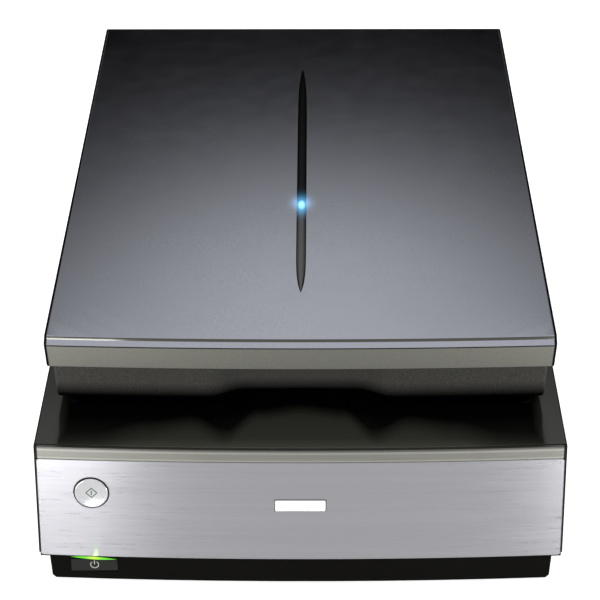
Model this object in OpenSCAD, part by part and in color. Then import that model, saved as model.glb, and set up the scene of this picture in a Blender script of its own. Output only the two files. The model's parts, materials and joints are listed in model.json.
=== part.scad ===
// Flatbed film scanner with a hinged, lifting transparency lid.
// Origin: middle of the footprint at floor level. +X right, +Y to the hinge side, +Z up. Millimetres.

/* [Base housing] */
// Width of the base
base_w = 308; // [304:1:326]
// Depth of the base, from the bulge of the front panel to the rear wall
base_d = 503; // [500:1:520]
// Height of the deck that surrounds the glass
deck_z = 92; // [90:1:100]
// Thickness of the deck
deck_t = 3; // [2.5:0.1:3.5]
// Thickness of the housing walls
wall_t = 2.6; // [2.2:0.1:3]
// Height of the joint between the lower and the upper case
split_z = 23; // [22:0.5:24]
// Height that the rubber feet lift the lower case
foot_h = 2.5; // [2:0.1:3]
// Radius of a rubber foot
foot_r = 9; // [7:0.5:11]
// How far the middle of the front bulges forwards
front_bow = 4.5; // [3:0.5:7]
// Angle at which the front panel leans back
front_lean = 7.9; // [6:0.1:9]
// How far the plinth is set in from the side walls
plinth_inset = 6.5; // [5:0.5:8]
// How far the plinth is set back from the foot of the front panel
plinth_setback = 3; // [2:0.5:5]
// Radius of the rear corners in plan
corner_r = 8; // [4:1:12]

/* [Front] */
// Thickness of the brushed front panel
panel_t = 2; // [1.5:0.1:2.4]
// Height of the dark trim strip above the panel
trim_h = 7.6; // [6:0.2:9]
// Radius of the start button
start_r = 10.3; // [8:0.1:12]
// Distance of the start button from the left side
start_from_side = 32.4; // [30:0.2:34]
// Height of the start button's centre
start_z = 63.5; // [60:0.5:66]
// Travel of the start button
start_travel = 1.5; // [1:0.1:1.8]
// Width of the power button
power_w = 27.4; // [22:0.2:29]
// Height of the power button
power_h = 8.8; // [7:0.2:9.4]
// Travel of the power button
power_travel = 1; // [0.6:0.1:1.2]
// Width of the blank nameplate
plate_w = 30.6; // [20:0.2:50]
// Height of the blank nameplate
plate_h = 7.4; // [5:0.2:10]

/* [Glass and carriage] */
// Width of the scanning window
window_w = 218; // [212:1:219]
// Depth of the scanning window
window_d = 300; // [290:1:302]
// Middle of the window, measured from the middle of the base
window_y = -5; // [-6:0.5:-4]
// Width of the ledge that carries the glass
ledge_w = 8; // [6:0.5:9]
// Thickness of the glass
glass_t = 3.4; // [3:0.1:4]
// Length of the optical carriage
carriage_len = 64; // [62:1:68]
// Radius of the carriage's guide rod
rod_r = 4; // [3:0.1:4.5]
// Height of the guide rod
rod_z = 42; // [41:0.5:43]
// Module of the drive gears
gear_module = 0.6; // [0.55:0.01:0.62]
// Pitch radius of the toothed belt on its pulleys
belt_pitch_r = 7.2; // [6.8:0.1:8]

/* [Lid] */
// How far the lid is narrower than the base, on each side
lid_side_inset = 5.1; // [4:0.1:7]
// Distance from the front of the base's corners to the lid's front corners
lid_front_setback = 42.6; // [40:0.2:46]
// Gap between the deck and the lid's lower edge
lid_gap = 6; // [5:0.2:8]
// Height of the upper shell's lower edge above the deck
cover_edge_h = 33.2; // [31:0.2:35]
// Height of the lid's front top edge above the deck
lid_front_h = 51.2; // [50:0.2:54]
// Height of the lid's rear top edge above the deck
lid_rear_h = 60; // [58:0.2:64]
// Size of the chamfer along the lid's front edge
lid_chamfer = 3.2; // [2:0.1:4]
// How far the middle of the lid's front bulges forwards
lid_bow = 3.5; // [2:0.5:5]
// Wall thickness of the lid's shells
lid_wall_t = 2.5; // [2:0.1:3]
// How far the lower shell is set in from the upper one's lower edge at the front
skirt_setback = 9.8; // [8:0.2:12]
// Depth of the finger scoop
scoop_depth = 8; // [5:0.5:10]
// Half width of the finger scoop at its mouth
scoop_half = 54; // [46:1:70]
// How far the lower edge rises in the finger scoop
scoop_rise = 2.2; // [1:0.2:4]
// Length of the light slit in the top
slit_len = 314; // [280:1:330]
// Width of the light slit
slit_w = 6.4; // [4:0.2:8]
// Middle of the light slit, from the middle of the base
slit_y = 6; // [0:1:10]
// Place of the blue light along the slit
light_y = -42; // [-60:1:-20]
// Width of the film window in the lid
film_w = 203; // [180:1:206]
// Depth of the film window in the lid
film_d = 254; // [240:1:258]

/* [Hinge] */
// Distance of the hinge axis from the rear wall
hinge_from_rear = 29; // [28:0.5:30]
// Height of the hinge axis above the deck
hinge_h = 14; // [13.5:0.1:15]
// Distance of the hinge posts from the sides of the base
hinge_from_side = 34; // [33:0.5:35]
// Radius of the hinge pins
hinge_pin_r = 3; // [2.5:0.1:3.5]
// Height that the hinge posts can lift
lift_travel = 18; // [12:1:20]
// Distance of the lid's rear wall behind the hinge axis
lid_behind_hinge = 12; // [11:0.2:12.4]

/* [Hidden] */
$fn = 48;

// Fits
seat_gap = 0.2;      // between pieces that are fastened together
run_gap = 0.05;      // radial running clearance of a shaft
slide_gap = 0.3;     // between pieces that slide past each other
big_fn = 720;        // facets of the very large front radii
far = 400;           // longer than anything that it cuts

// Base, derived
front_y = -base_d/2;
rear_y = base_d/2;
half_w = base_w/2;
bow_r = (half_w*half_w + front_bow*front_bow)/(2*front_bow);
floor_t = 2.5;
floor_z = foot_h + floor_t;
plinth_half = half_w - plinth_inset;
cheek_t = 1;
panel_half = half_w - cheek_t - 0.1;
trim_z1 = deck_z - 0.5;
trim_z0 = trim_z1 - trim_h;
panel_z1 = trim_z0 - seat_gap;
case_front_inset = panel_t + 0.4;
case_front_inner = case_front_inset + wall_t;
inner_half = half_w - wall_t;
inner_rear = rear_y - wall_t;
rib_z1 = split_z + 7;
boss_top_z = rib_z1;
air_slot_w = 6;
air_slot_pitch = 13;
air_slot_x = -52;
air_slot_y = [-60, -10];

// Glass and window, derived
glass_w = window_w + 2*ledge_w;
glass_d = window_d + 2*ledge_w;
glass_top = deck_z - 0.15;
glass_z = glass_top - glass_t;
ledge_top = glass_z - 0.05;
ledge_t = 2.6;
ledge_z = ledge_top - ledge_t;
ring_rim = 3.3;

// Carriage, derived
home_y = window_y + window_d/2 + 7;
carriage_travel = window_d + 7;
carriage_half = window_w/2 + 4;
carriage_z0 = 38;
carriage_top = deck_z - 11;
carriage_wall = 2.5;
bearing_half = 7;
bush_r = rod_r + 1.8;
rod_x = -(carriage_half + bearing_half + 2);
rail_x = carriage_half + 9.5;
rod_seat_len = 5;
rod_end_gap = 1;
rod_y0 = home_y - carriage_travel - carriage_len/2 - 12;
rod_y1 = home_y + carriage_len/2 + rod_end_gap + rod_seat_len;
clip_len = rod_seat_len - 1;
rail_top = 33;
lug_x = rod_x - bearing_half;
lug_w = 4;
lens_y = 13.5;
lens_len = 10;
cable_w = 22;
cable_x1 = 34;

// Hinge, derived
hinge_y = rear_y - hinge_from_rear;
hinge_z = deck_z + hinge_h;
hinge_x = half_w - hinge_from_side;
post_w = 24;
post_d = 14;
post_guide = 22;
post_z0 = deck_z - post_guide - lift_travel;
post_top = hinge_z - 9;
barrel_w = 16;
barrel_r = 7;
socket_wall = 2;
socket_z0 = post_z0 - 4;

// Drive train, derived
gear_teeth = 60;
pinion_teeth = 12;
gear_x = -hinge_x + 42;
gear_y = hinge_y - 9.5;
gear_z = 12;
gear_t = 5;
mesh_dist = gear_module*(gear_teeth + pinion_teeth)/2;
mesh_angle = asin(14.5/mesh_dist);
motor_x = gear_x + mesh_dist*cos(mesh_angle);
motor_y = gear_y + mesh_dist*sin(mesh_angle);
motor_r = 17.5;
shaft_r = 1;
belt_t = 1.2;
belt_h = 6;
belt_z = 18.5;
pulley_r = belt_pitch_r - belt_t/2 - slide_gap;
flange_r = belt_pitch_r + 1.8;
stud_r = 2.5;
bracket_z = 26;
bracket_t = 1.5;
idler_y = rod_y0;
bracket_posts = [
  [motor_x + 17, gear_y - 11], [motor_x + 17, gear_y + 27], [gear_x - 22, gear_y + 26]
];

// Front, derived
start_x = -(half_w - start_from_side);
board_depth = 13;
switch_t = 3.5;
power_x = start_x - 0.4;
power_stem_reach = 2.4;
power_z0 = 8.4;
light_bar_h = 1.7;
light_bar_z = power_z0 + power_h + 0.7;
plinth_front_y = front_y + plinth_setback;

// Rear sockets
inlet_x = half_w - 69;
inlet_w = 28;
inlet_h = 22;
inlet_z = 32;
usb_x = inlet_x - 45;
usb_w = 12;
usb_h = 11;
lid_socket_w = 26;
lid_socket_h = 14;
socket_z = 30;
board_y = rear_y - 15.5;
board_t = 1.6;
board_x0 = motor_x + motor_r + 6.5;
board_x1 = inlet_x - inlet_w/2 - 7;
board_mid = (board_x0 + board_x1)/2;
board_top = 72;
supply_x0 = 12;
supply_x1 = rail_x - 4.5;
supply_d = 28;
supply_y = front_y + 31.5;
supply_z = floor_z + 5;
rear_face = rear_y - 0.3;

// Transport lock
lock_y = home_y + 20;
lock_travel = 8;
lock_z = 34;

// Case screws
screw_r = 1.5;
screw_x = half_w - 13;
screw_spots = [for (s = [-1, 1]) for (y = [front_y + 66, 10, lock_y + 23]) [s*screw_x, y]];

// Lid, derived
lid_half = half_w - lid_side_inset;
lid_rear_y = hinge_y + lid_behind_hinge;
lid_front_y = front_y + front_bow + lid_front_setback;
lid_bow_r = (lid_half*lid_half + lid_bow*lid_bow)/(2*lid_bow);
lid_nose_y = lid_front_y - lid_bow;
lid_front_top = deck_z + lid_front_h;
lid_rear_top = deck_z + lid_rear_h;
lid_slope = atan((lid_rear_top - lid_front_top)/(lid_rear_y - lid_front_y - lid_chamfer));
cover_edge_z = deck_z + cover_edge_h;
side_draft = 1.5;
skirt_half = lid_half - 4.6;
skirt_y = lid_front_y + skirt_setback;
skirt_z = deck_z + lid_gap;
skirt_rear_y = lid_rear_y - 5;
skirt_top = cover_edge_z + 5;
scoop_ramp = 18;
grip_half = scoop_half + 3;
grip_y = skirt_y + scoop_depth + 17;
grip_tongue_w = 12;
plate_z = skirt_z + 2;
plate_t = 2.5;
plate_top = plate_z + plate_t;
notch_half = 15;
notch_y = hinge_y - 18.5;
leaf_len = 12;
leaf_screws = [[-5, -6.5], [5, -6.5]];
outlet_x = -60;
outlet_z = skirt_z + 14;
film_y = window_y;
film_rim = 5;
film_t = 2.5;
cover_boss_r = 4;
lid_screw_spots = [
  for (s = [-1, 1]) for (y = [skirt_y + 16, window_y, notch_y - 46]) [s*(skirt_half - 8.5), y]
];
slit_drop = 1.2;
window_t = 3;

// Lid lamp drive, derived
lamp_rod_r = 3;
lamp_z = plate_top + 5.5;
lamp_h = 16;
lamp_len = 26;
lamp_park_gap = 4;
lamp_half = film_w/2 + 10;
lamp_rod_x = -(lamp_half + 6.5);
lamp_rod_z = lamp_z + lamp_h/2;
lamp_home_y = film_y + film_d/2 + lamp_len/2 + lamp_park_gap;
lamp_travel = film_d + lamp_len/2 + lamp_park_gap;
lamp_seat_len = 5;
lamp_rod_y0 = lamp_home_y - lamp_travel - lamp_len/2 - lamp_seat_len - 1;
lamp_rod_y1 = lamp_home_y + lamp_len/2 + lamp_seat_len + 1;
lid_belt_x = 60;
lid_belt_z = lamp_z + lamp_h + 3;
lid_belt_h = 5;
lid_belt_t = 1;
lid_pulley_r = 5;
lid_belt_mid_r = lid_pulley_r + slide_gap + lid_belt_t/2;
lid_motor_r = 11;
lid_motor_y = notch_y + 6;
lid_idler_y = lamp_rod_y0 - 4;

// Document mat
hook_x = max(window_w/2 + 2.5, film_w/2 + film_rim + 5);
mat_w = 2*hook_x + 9;
mat_d = window_d + 12;
bumper_r = 4.5;
bumper_x = mat_w/2 + bumper_r + 0.7;
mat_z = deck_z + 0.4;
mat_travel = 10;
mat_hooks = [for (s = [-1, 1]) for (t = [-1, 1]) [s*hook_x, window_y + t*(window_d/2 - 20)]];
hook_w = 6;

// ---------- Shared shapes ----------

function bow_back(x) = bow_r - sqrt(bow_r*bow_r - x*x);
function front_at(z) = front_y + (z - split_z)*tan(front_lean);
function scoop(x) = scoop_depth*max(0, min(1, (scoop_half - abs(x))/scoop_ramp));
function skirt_front(x) = skirt_y - lid_bow*(1 - pow(x/skirt_half, 2)) + scoop(x);
function involute(a) = tan(a)*180/PI - a;
function lid_top_at(y) = lid_front_top + (y - lid_front_y - lid_chamfer)*tan(lid_slope);

module rounded_box(w, d, h, r) {
  translate([-w/2 + r, -d/2, 0]) cube([w - 2*r, d, h]);
  translate([-w/2, -d/2 + r, 0]) cube([w, d - 2*r, h]);
  for (x = [-w/2 + r, w/2 - r], y = [-d/2 + r, d/2 - r]) translate([x, y, 0]) cylinder(r = r, h = h);
}

// Box given by its two corners
module span(low, high) {
  translate(low) cube(high - low);
}

// Everything behind the leaning, bulging front face, set in by inset
module behind_front(inset) {
  translate([0, front_y, split_z]) rotate([-front_lean, 0, 0])
    translate([0, bow_r, -100]) cylinder(r = bow_r - inset, h = 400, $fn = big_fn);
}

// Puts its children on the front panel at x and height z, with their +Z pointing out of the panel
module on_panel(x, z) {
  translate([x, front_at(z) + bow_back(x)/cos(front_lean), z]) rotate([-front_lean, 0, 0])
    rotate([90, 0, asin(x/bow_r)]) children();
}

// Plan of the base between two heights, with round rear corners
module base_prism(half, rear, z0, z1, r) {
  translate([0, 0, z0]) {
    span([-half, front_y - 20, 0], [half, rear - r, z1 - z0]);
    span([-half + r, front_y - 20, 0], [half - r, rear, z1 - z0]);
    for (s = [-1, 1]) translate([s*(half - r), rear - r, 0]) cylinder(r = r, h = z1 - z0);
  }
}

// Spur gear with involute flanks, standing on z = 0, with a tooth on the angle phase
module spur_gear(teeth, thickness, phase) {
  pitch = teeth*gear_module/2;
  base = pitch*cos(20);
  root = pitch - 1.1*gear_module;
  tip = pitch + 0.75*gear_module;
  play = 0.07/pitch*180/PI;
  radii = [root, max(base, root + 0.05), (max(base, root) + pitch)/2 + 0.05, (pitch + tip)/2, tip];
  function half(r) = 90/teeth - play/2 + involute(20) - (r > base ? involute(acos(base/r)) : 0);
  flank = [for (r = radii) [r, half(r)]];
  linear_extrude(thickness) polygon([
    for (i = [0:teeth - 1]) each concat(
      [for (k = [0:4]) let (a = phase + i*360/teeth - flank[k][1]) flank[k][0]*[cos(a), sin(a)]],
      [for (k = [4:-1:0]) let (a = phase + i*360/teeth + flank[k][1]) flank[k][0]*[cos(a), sin(a)]]
    )
  ]);
}

// Belt around two pulleys on one x
module belt_loop(x, y0, y1, z, h, mid_r, t) {
  translate([x, 0, z]) difference() {
    union() {
      span([-mid_r - t/2, y0, 0], [mid_r + t/2, y1, h]);
      for (y = [y0, y1]) translate([0, y, 0]) cylinder(r = mid_r + t/2, h = h);
    }
    span([-mid_r + t/2, y0, -1], [mid_r - t/2, y1, h + 1]);
    for (y = [y0, y1]) translate([0, y, -1]) cylinder(r = mid_r - t/2, h = h + 2);
  }
}

module screw(length, head_r, head_h) {
  difference() {
    cylinder(r = head_r, h = head_h);
    translate([0, 0, -1]) cylinder(r = 1.3, h = 2.2, $fn = 6);
  }
  cylinder(r = screw_r, h = length);
}

// ---------- Base housing ----------

module plinth_solid(inset) {
  // Side walls with draft and a chamfered foot, cut to the vertical, bulging front
  half = plinth_half - inset;
  foot = inset > 0 ? 0 : 2;
  intersection() {
    translate([0, rear_y - 1.5 - inset, 0]) rotate([90, 0, 0]) linear_extrude(base_d + 20)
      polygon([
        [-half - 1, split_z], [half + 1, split_z], [half, foot_h + foot], [half - foot, foot_h],
        [-half + foot, foot_h], [-half, foot_h + foot]
      ]);
    translate([0, plinth_front_y + bow_r, 0]) cylinder(r = bow_r - inset, h = split_z, $fn = big_fn);
  }
}

module base_lower_case() {
  color("#1b1b1a") difference() {
    union() {
      plinth_solid(0);
      // Flange that the upper case stands on
      intersection() {
        base_prism(half_w - 0.6, rear_y - 0.6, split_z - 3, split_z - seat_gap, corner_r - 0.6);
        behind_front(1.2);
      }
      // Rib that centres the upper case
      intersection() {
        base_prism(inner_half - 0.5, inner_rear - 0.5, split_z - 1, rib_z1, corner_r - wall_t);
        behind_front(case_front_inner + 0.5);
      }
    }
    difference() {
      plinth_solid(floor_t);
      translate([0, 0, -far + floor_z]) span([-far, -far, 0], [far, far, far]);
      lower_case_posts();
    }
    // Room inside the rib and the flange
    difference() {
      intersection() {
        base_prism(inner_half - 3, inner_rear - 3, split_z - 0.5, rib_z1 + 1, corner_r - wall_t - 2);
        behind_front(case_front_inner + 3);
      }
      lower_case_posts();
    }
    lower_case_cuts();
  }
}

module lower_case_posts() {
  for (p = screw_spots) translate([p.x, p.y, floor_z - 1])
    cylinder(r = 4.5, h = rib_z1 - seat_gap - floor_z + 1);
  // Seats of the carriage rod
  for (y = [rod_y0, rod_y1 - rod_seat_len])
    span([rod_x - 7, y, floor_z - 1], [rod_x + 7, y + rod_seat_len, rod_z]);
  // Rail under the carriage's free end
  span([rail_x - 1.5, rod_y0, floor_z - 1], [rail_x + 1.5, rod_y1, rail_top - 1]);
  span([rail_x - 4, rod_y0, rail_top - 2], [rail_x + 4, rod_y1, rail_top]);
  // Pedestals of the hinge sockets
  for (s = [-1, 1]) difference() {
    span([s*hinge_x - 12, hinge_y - 7, floor_z - 1], [s*hinge_x + 12, hinge_y + 7, socket_z0 - 0.1]);
    span([s*hinge_x - 9.5, hinge_y - 4.5, floor_z - 1], [s*hinge_x + 9.5, hinge_y + 4.5, socket_z0 - 3]);
  }
  for (p = bracket_posts) translate([p.x, p.y, floor_z - 1]) cylinder(r = 4, h = bracket_z - floor_z + 1);
  // Slotted clips for the main board, posts for the power supply
  for (x = [board_x0 + 6, board_x1 - 6]) translate([x, board_y, floor_z - 1]) difference() {
    span([-2, -3, 0], [2, board_t + 3, 10]);
    span([-3, -seat_gap/2, 4], [3, board_t + seat_gap/2, 11]);
  }
  for (x = [supply_x0 + 4, supply_x1 - 4], y = [-10, 10])
    translate([x, supply_y + y, floor_z - 1]) cylinder(r = 3, h = supply_z - floor_z + 1);
}

module lower_case_cuts() {
  for (p = screw_spots) translate([p.x, p.y, 0]) {
    cylinder(r = 3.3, h = 8);
    cylinder(r = screw_r + 0.2, h = rib_z1);
  }
  translate([rod_x, rod_y0 - 1, rod_z]) rotate([-90, 0, 0])
    cylinder(r = rod_r + 0.02, h = rod_y1 - rod_y0 + 2);
  for (s = [-1, 1], y = [-1, 1]) translate([s*(plinth_half - 25.5), y*(rear_y - 36.5), 0])
    cylinder(r = foot_r + 0.2, h = foot_h + 1);
  // Power button and light bar in the front of the plinth
  span([power_x - power_w/2 - 0.35, front_y - 5, power_z0 - 0.35],
       [power_x + power_w/2 + 0.35, plinth_front_y + bow_back(power_x) + 8, power_z0 + power_h + 0.35]);
  span([power_x - power_w/2 - 0.15, front_y - 5, light_bar_z - 0.15],
       [power_x + power_w/2 + 0.15, plinth_front_y + bow_back(power_x) + 8,
        light_bar_z + light_bar_h + 0.15]);
  // Air slots in the floor
  for (i = [0:4]) translate([air_slot_x + i*air_slot_pitch, 0, 0])
    span([0, air_slot_y[0], 0], [air_slot_w, air_slot_y[1], floor_z + 1]);
}

module base_upper_case() {
  color("#2b2b29") {
    difference() {
      intersection() {
        base_prism(half_w, rear_y, split_z, deck_z, corner_r);
        behind_front(0);
      }
      // Room for the panel and the trim, between the two cheeks
      difference() {
        span([-panel_half - 0.1, front_y - 20, split_z - 1], [panel_half + 0.1, front_y + 40, deck_z + 1]);
        behind_front(case_front_inset);
      }
      // Inside
      difference() {
        intersection() {
          base_prism(inner_half, inner_rear, split_z - 1, deck_z - deck_t, corner_r - wall_t);
          behind_front(case_front_inner);
        }
        upper_case_bosses();
      }
      translate([0, window_y, ledge_top]) rounded_box(glass_w + 0.5, glass_d + 0.5, 20, 3.25);
      translate([0, window_y, ledge_z - 1]) rounded_box(window_w, window_d, 20, 2);
      upper_case_holes();
    }
  }
}

module upper_case_bosses() {
  translate([0, window_y, ledge_z])
    rounded_box(glass_w + 2*ring_rim, glass_d + 2*ring_rim, deck_z - ledge_z, 4);
  for (p = screw_spots) translate([p.x, p.y, boss_top_z]) cylinder(r = 4, h = deck_z - boss_top_z);
  for (x = [-16, 16], y = [8, -25]) on_panel(start_x, start_z)
    translate([x, y, -board_depth]) cylinder(r = 2.5, h = board_depth - case_front_inset - 0.5);
}

module upper_case_holes() {
  for (p = screw_spots) translate([p.x, p.y, boss_top_z - 1]) cylinder(r = screw_r + 0.05, h = 16);
  on_panel(start_x, start_z) translate([0, 0, -case_front_inner - 2]) cylinder(r = start_r + 0.6, h = 20);
  // Slots for the hinge posts
  for (s = [-1, 1]) span([s*hinge_x - post_w/2 - 0.4, hinge_y - post_d/2 - 0.4, deck_z - deck_t - 1],
                         [s*hinge_x + post_w/2 + 0.4, hinge_y + post_d/2 + 0.4, deck_z + 1]);
  rear_cut(inlet_x, inlet_w, inlet_z, inlet_h);
  rear_cut(usb_x, usb_w, socket_z, usb_h);
  rear_cut(0, lid_socket_w, socket_z, lid_socket_h);
  // Security slot and air slots
  rear_cut(-inlet_x - 10, 7, 36, 3);
  for (i = [0:9]) rear_cut(-inlet_x + 8 + i*6, 2.4, 56, 18);
  // Slot of the transport lock in the left wall
  span([-half_w - 1, lock_y - 4.2, lock_z - 0.5],
       [-inner_half + 1, lock_y + 4.2, lock_z + 9.5 + lock_travel]);
}

module rear_cut(x, w, z, h) {
  span([x - w/2 - seat_gap, inner_rear - 1, z - seat_gap],
       [x + w/2 + seat_gap, rear_y + 1, z + h + seat_gap]);
}

// A strip of the front face, t thick, between two heights
module front_skin(t, z0, z1, r) {
  intersection() {
    difference() {
      behind_front(0);
      behind_front(t);
    }
    translate([0, front_y + 40, (z0 + z1)/2]) rotate([90, 0, 0])
      rounded_box(2*panel_half, z1 - z0, 60, r);
  }
}

module front_trim() {
  color("#5b5a54") front_skin(panel_t, trim_z0, trim_z1, 0.4);
}

module front_panel() {
  color("#c9c9cd") difference() {
    front_skin(panel_t, split_z, panel_z1, 1.5);
    on_panel(start_x, start_z) translate([0, 0, -5]) cylinder(r = start_r + 0.4, h = 10);
  }
}

module nameplate_blank() {
  color("#e4e4e6") on_panel(0, 56.8) translate([0, 0, 0.03]) difference() {
    rounded_box(plate_w, plate_h, 0.8, 0.8);
    translate([0, 0, 0.5]) rounded_box(plate_w - 1.4, plate_h - 1.4, 1, 0.4);
  }
}

module platen_glass() {
  color("#b9cbc8") translate([0, window_y, glass_z]) rounded_box(glass_w, glass_d, glass_t, 3);
}

module calibration_strip() {
  color("white") span([-window_w/2 - 3, home_y - 5, ledge_z - 0.5],
                      [window_w/2 + 3, home_y + 5, ledge_z - 0.05]);
}

module rubber_feet() {
  color("#151515") for (s = [-1, 1], t = [-1, 1])
    translate([s*(plinth_half - 25.5), t*(rear_y - 36.5), 0]) {
      cylinder(r1 = foot_r - 0.8, r2 = foot_r, h = 0.8);
      translate([0, 0, 0.8]) cylinder(r = foot_r, h = foot_h + 0.15);
    }
}

module case_screws() {
  color("#6d6f72") for (p = screw_spots) translate([p.x, p.y, 5.4]) screw(34, 2.9, 2.5);
}

// ---------- Hinge ----------

module hinge_sockets() {
  color("#3a3a3a") for (s = [-1, 1]) translate([s*hinge_x, hinge_y, socket_z0]) difference() {
    rounded_box(post_w + 1 + 2*socket_wall, post_d + 1 + 2*socket_wall,
                deck_z - deck_t - socket_z0 - seat_gap, 2);
    translate([-post_w/2 - 0.4, -post_d/2 - 0.4, 3]) cube([post_w + 0.8, post_d + 0.8, far]);
  }
}

module hinge_post(s) {
  color("#232323") difference() {
    union() {
      translate([s*hinge_x, hinge_y, post_z0]) rounded_box(post_w, post_d, post_top - post_z0, 1.5);
      span([s*hinge_x - barrel_w/2, hinge_y - barrel_r, post_top - 1],
           [s*hinge_x + barrel_w/2, hinge_y + barrel_r, hinge_z]);
      translate([s*hinge_x - barrel_w/2, hinge_y, hinge_z]) rotate([0, 90, 0])
        cylinder(r = barrel_r, h = barrel_w);
    }
    translate([s*hinge_x - barrel_w, hinge_y, hinge_z]) rotate([0, 90, 0])
      cylinder(r = hinge_pin_r + run_gap, h = 2*barrel_w);
  }
}

module hinge_leaf(s) {
  ear_x = barrel_w/2 + 0.8;
  color("#8b8d90") difference() {
    union() {
      for (t = [-1, 1]) translate([s*hinge_x + t*(ear_x + 1.5), 0, 0]) {
        translate([-1.5, hinge_y, hinge_z]) rotate([0, 90, 0]) cylinder(r = 7.5, h = 3);
        span([-1.5, notch_y + 1, hinge_z - 7.5], [1.5, hinge_y, hinge_z + 7.5]);
        span([-1.5, notch_y - 9, plate_top + seat_gap], [1.5, notch_y + 1.5, hinge_z + 7.5]);
      }
      span([s*hinge_x - 13, notch_y - leaf_len, plate_top + seat_gap],
           [s*hinge_x + 13, notch_y - 1, plate_top + seat_gap + 3]);
    }
    translate([s*hinge_x - far/2, hinge_y, hinge_z]) rotate([0, 90, 0])
      cylinder(r = hinge_pin_r + 0.02, h = far);
    for (p = leaf_screws) translate([s*hinge_x + p.x, notch_y + p.y, plate_top - 1])
      cylinder(r = screw_r + 0.2, h = 5);
  }
}

module hinge_pins() {
  color("#b7b9bc") for (s = [-1, 1]) translate([s*hinge_x, hinge_y, hinge_z]) rotate([0, 90, 0]) {
    translate([0, 0, -13]) cylinder(r = hinge_pin_r, h = 26);
    for (z = [-14.2, 12.2]) translate([0, 0, z]) cylinder(r = hinge_pin_r + 1.2, h = 2);
  }
}

// ---------- Scan drive ----------

module carriage_rod() {
  color("#c2c4c7") translate([rod_x, rod_y0, rod_z]) rotate([-90, 0, 0])
    cylinder(r = rod_r, h = rod_y1 - rod_y0);
}

module rod_clips() {
  color("#9a9ca0") for (y = [rod_y0 + 0.5, rod_y1 - rod_seat_len + 0.5]) difference() {
    union() {
      span([rod_x - 7, y, rod_z + 0.05], [rod_x + 7, y + clip_len, rod_z + 1.5]);
      translate([rod_x, y, rod_z]) rotate([-90, 0, 0]) cylinder(r = rod_r + 1.6, h = clip_len);
    }
    translate([rod_x, y - 1, rod_z]) rotate([-90, 0, 0]) cylinder(r = rod_r + 0.05, h = clip_len + 2);
    span([rod_x - 10, y - 1, rod_z - 10], [rod_x + 10, y + clip_len + 1, rod_z + 0.05]);
  }
}

module motor_bracket() {
  color("#a7a9ab") difference() {
    union() {
      span([gear_x - 26.4, gear_y - 17, bracket_z], [motor_x + 22, gear_y + 30.5, bracket_z + bracket_t]);
      translate([gear_x, gear_y, gear_z - 2.5]) cylinder(r = stud_r, h = bracket_z - gear_z + 3);
      translate([gear_x, gear_y, gear_z - 1.3]) cylinder(r = stud_r + 1.6, h = 0.9);
    }
    translate([motor_x, motor_y, bracket_z - 1]) cylinder(r = 5.2, h = 4);
    // Clear of the left hinge socket
    span([-hinge_x - 30, gear_y - 30, bracket_z - 1], [-hinge_x + 15.2, gear_y + 30, bracket_z + 3]);
  }
}

module scan_motor() {
  color("#8f9194") difference() {
    translate([motor_x, motor_y, 0]) {
      translate([0, 0, bracket_z + 0.1]) cylinder(r = 5, h = 3);
      translate([0, 0, bracket_z + bracket_t + 0.05]) cylinder(r = motor_r, h = 21);
      translate([-8, -motor_r - 5, bracket_z + bracket_t + 4]) cube([16, 8, 12]);
    }
    translate([motor_x, motor_y, 0]) cylinder(r = shaft_r + run_gap, h = 100);
  }
}

module motor_pinion() {
  color("#d8b25a") translate([motor_x, motor_y, 0]) {
    translate([0, 0, gear_z - 0.5])
      spur_gear(pinion_teeth, gear_t + 1, mesh_angle + 180 + 180/pinion_teeth);
    translate([0, 0, gear_z + gear_t]) cylinder(r = 2.6, h = 6);
    translate([0, 0, gear_z - 1]) cylinder(r = shaft_r, h = 36);
  }
}

module drive_gear() {
  color("#e9e6dc") translate([gear_x, gear_y, gear_z]) difference() {
    union() {
      spur_gear(gear_teeth, gear_t, mesh_angle);
      translate([0, 0, gear_t - 0.5]) cylinder(r = flange_r, h = 1.3);
      cylinder(r = pulley_r, h = belt_z - gear_z + belt_h + 1);
      translate([0, 0, belt_z - gear_z + belt_h + 0.4]) cylinder(r = flange_r, h = 0.8);
    }
    translate([0, 0, -1]) cylinder(r = stud_r + run_gap, h = 30);
    // Shallow web between the rim and the hub
    translate([0, 0, -0.01]) difference() {
      cylinder(r = gear_module*gear_teeth/2 - 2.6, h = 1.5);
      cylinder(r = 6, h = 1.5);
    }
  }
}

module drive_belt() {
  color("#262626") belt_loop(gear_x, idler_y, gear_y, belt_z, belt_h, belt_pitch_r, belt_t);
}

module idler_bracket() {
  color("#a7a9ab") {
    span([gear_x - 15, idler_y - 12, floor_z + 0.05], [gear_x + 15, idler_y + 12, floor_z + 2]);
    translate([gear_x, idler_y, floor_z + 1]) cylinder(r = 4, h = belt_z - 2 - floor_z);
    translate([gear_x, idler_y, floor_z + 1]) cylinder(r = stud_r, h = belt_z + belt_h + 3 - floor_z);
  }
}

module idler_pulley() {
  color("#e9e6dc") translate([gear_x, idler_y, belt_z]) difference() {
    union() {
      translate([0, 0, -0.7]) cylinder(r = pulley_r, h = belt_h + 1.4);
      translate([0, 0, -0.7]) cylinder(r = flange_r, h = 0.5);
      translate([0, 0, belt_h + 0.2]) cylinder(r = flange_r, h = 0.6);
    }
    translate([0, 0, -2]) cylinder(r = stud_r + run_gap, h = 20);
  }
}

// ---------- Optical carriage ----------

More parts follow.
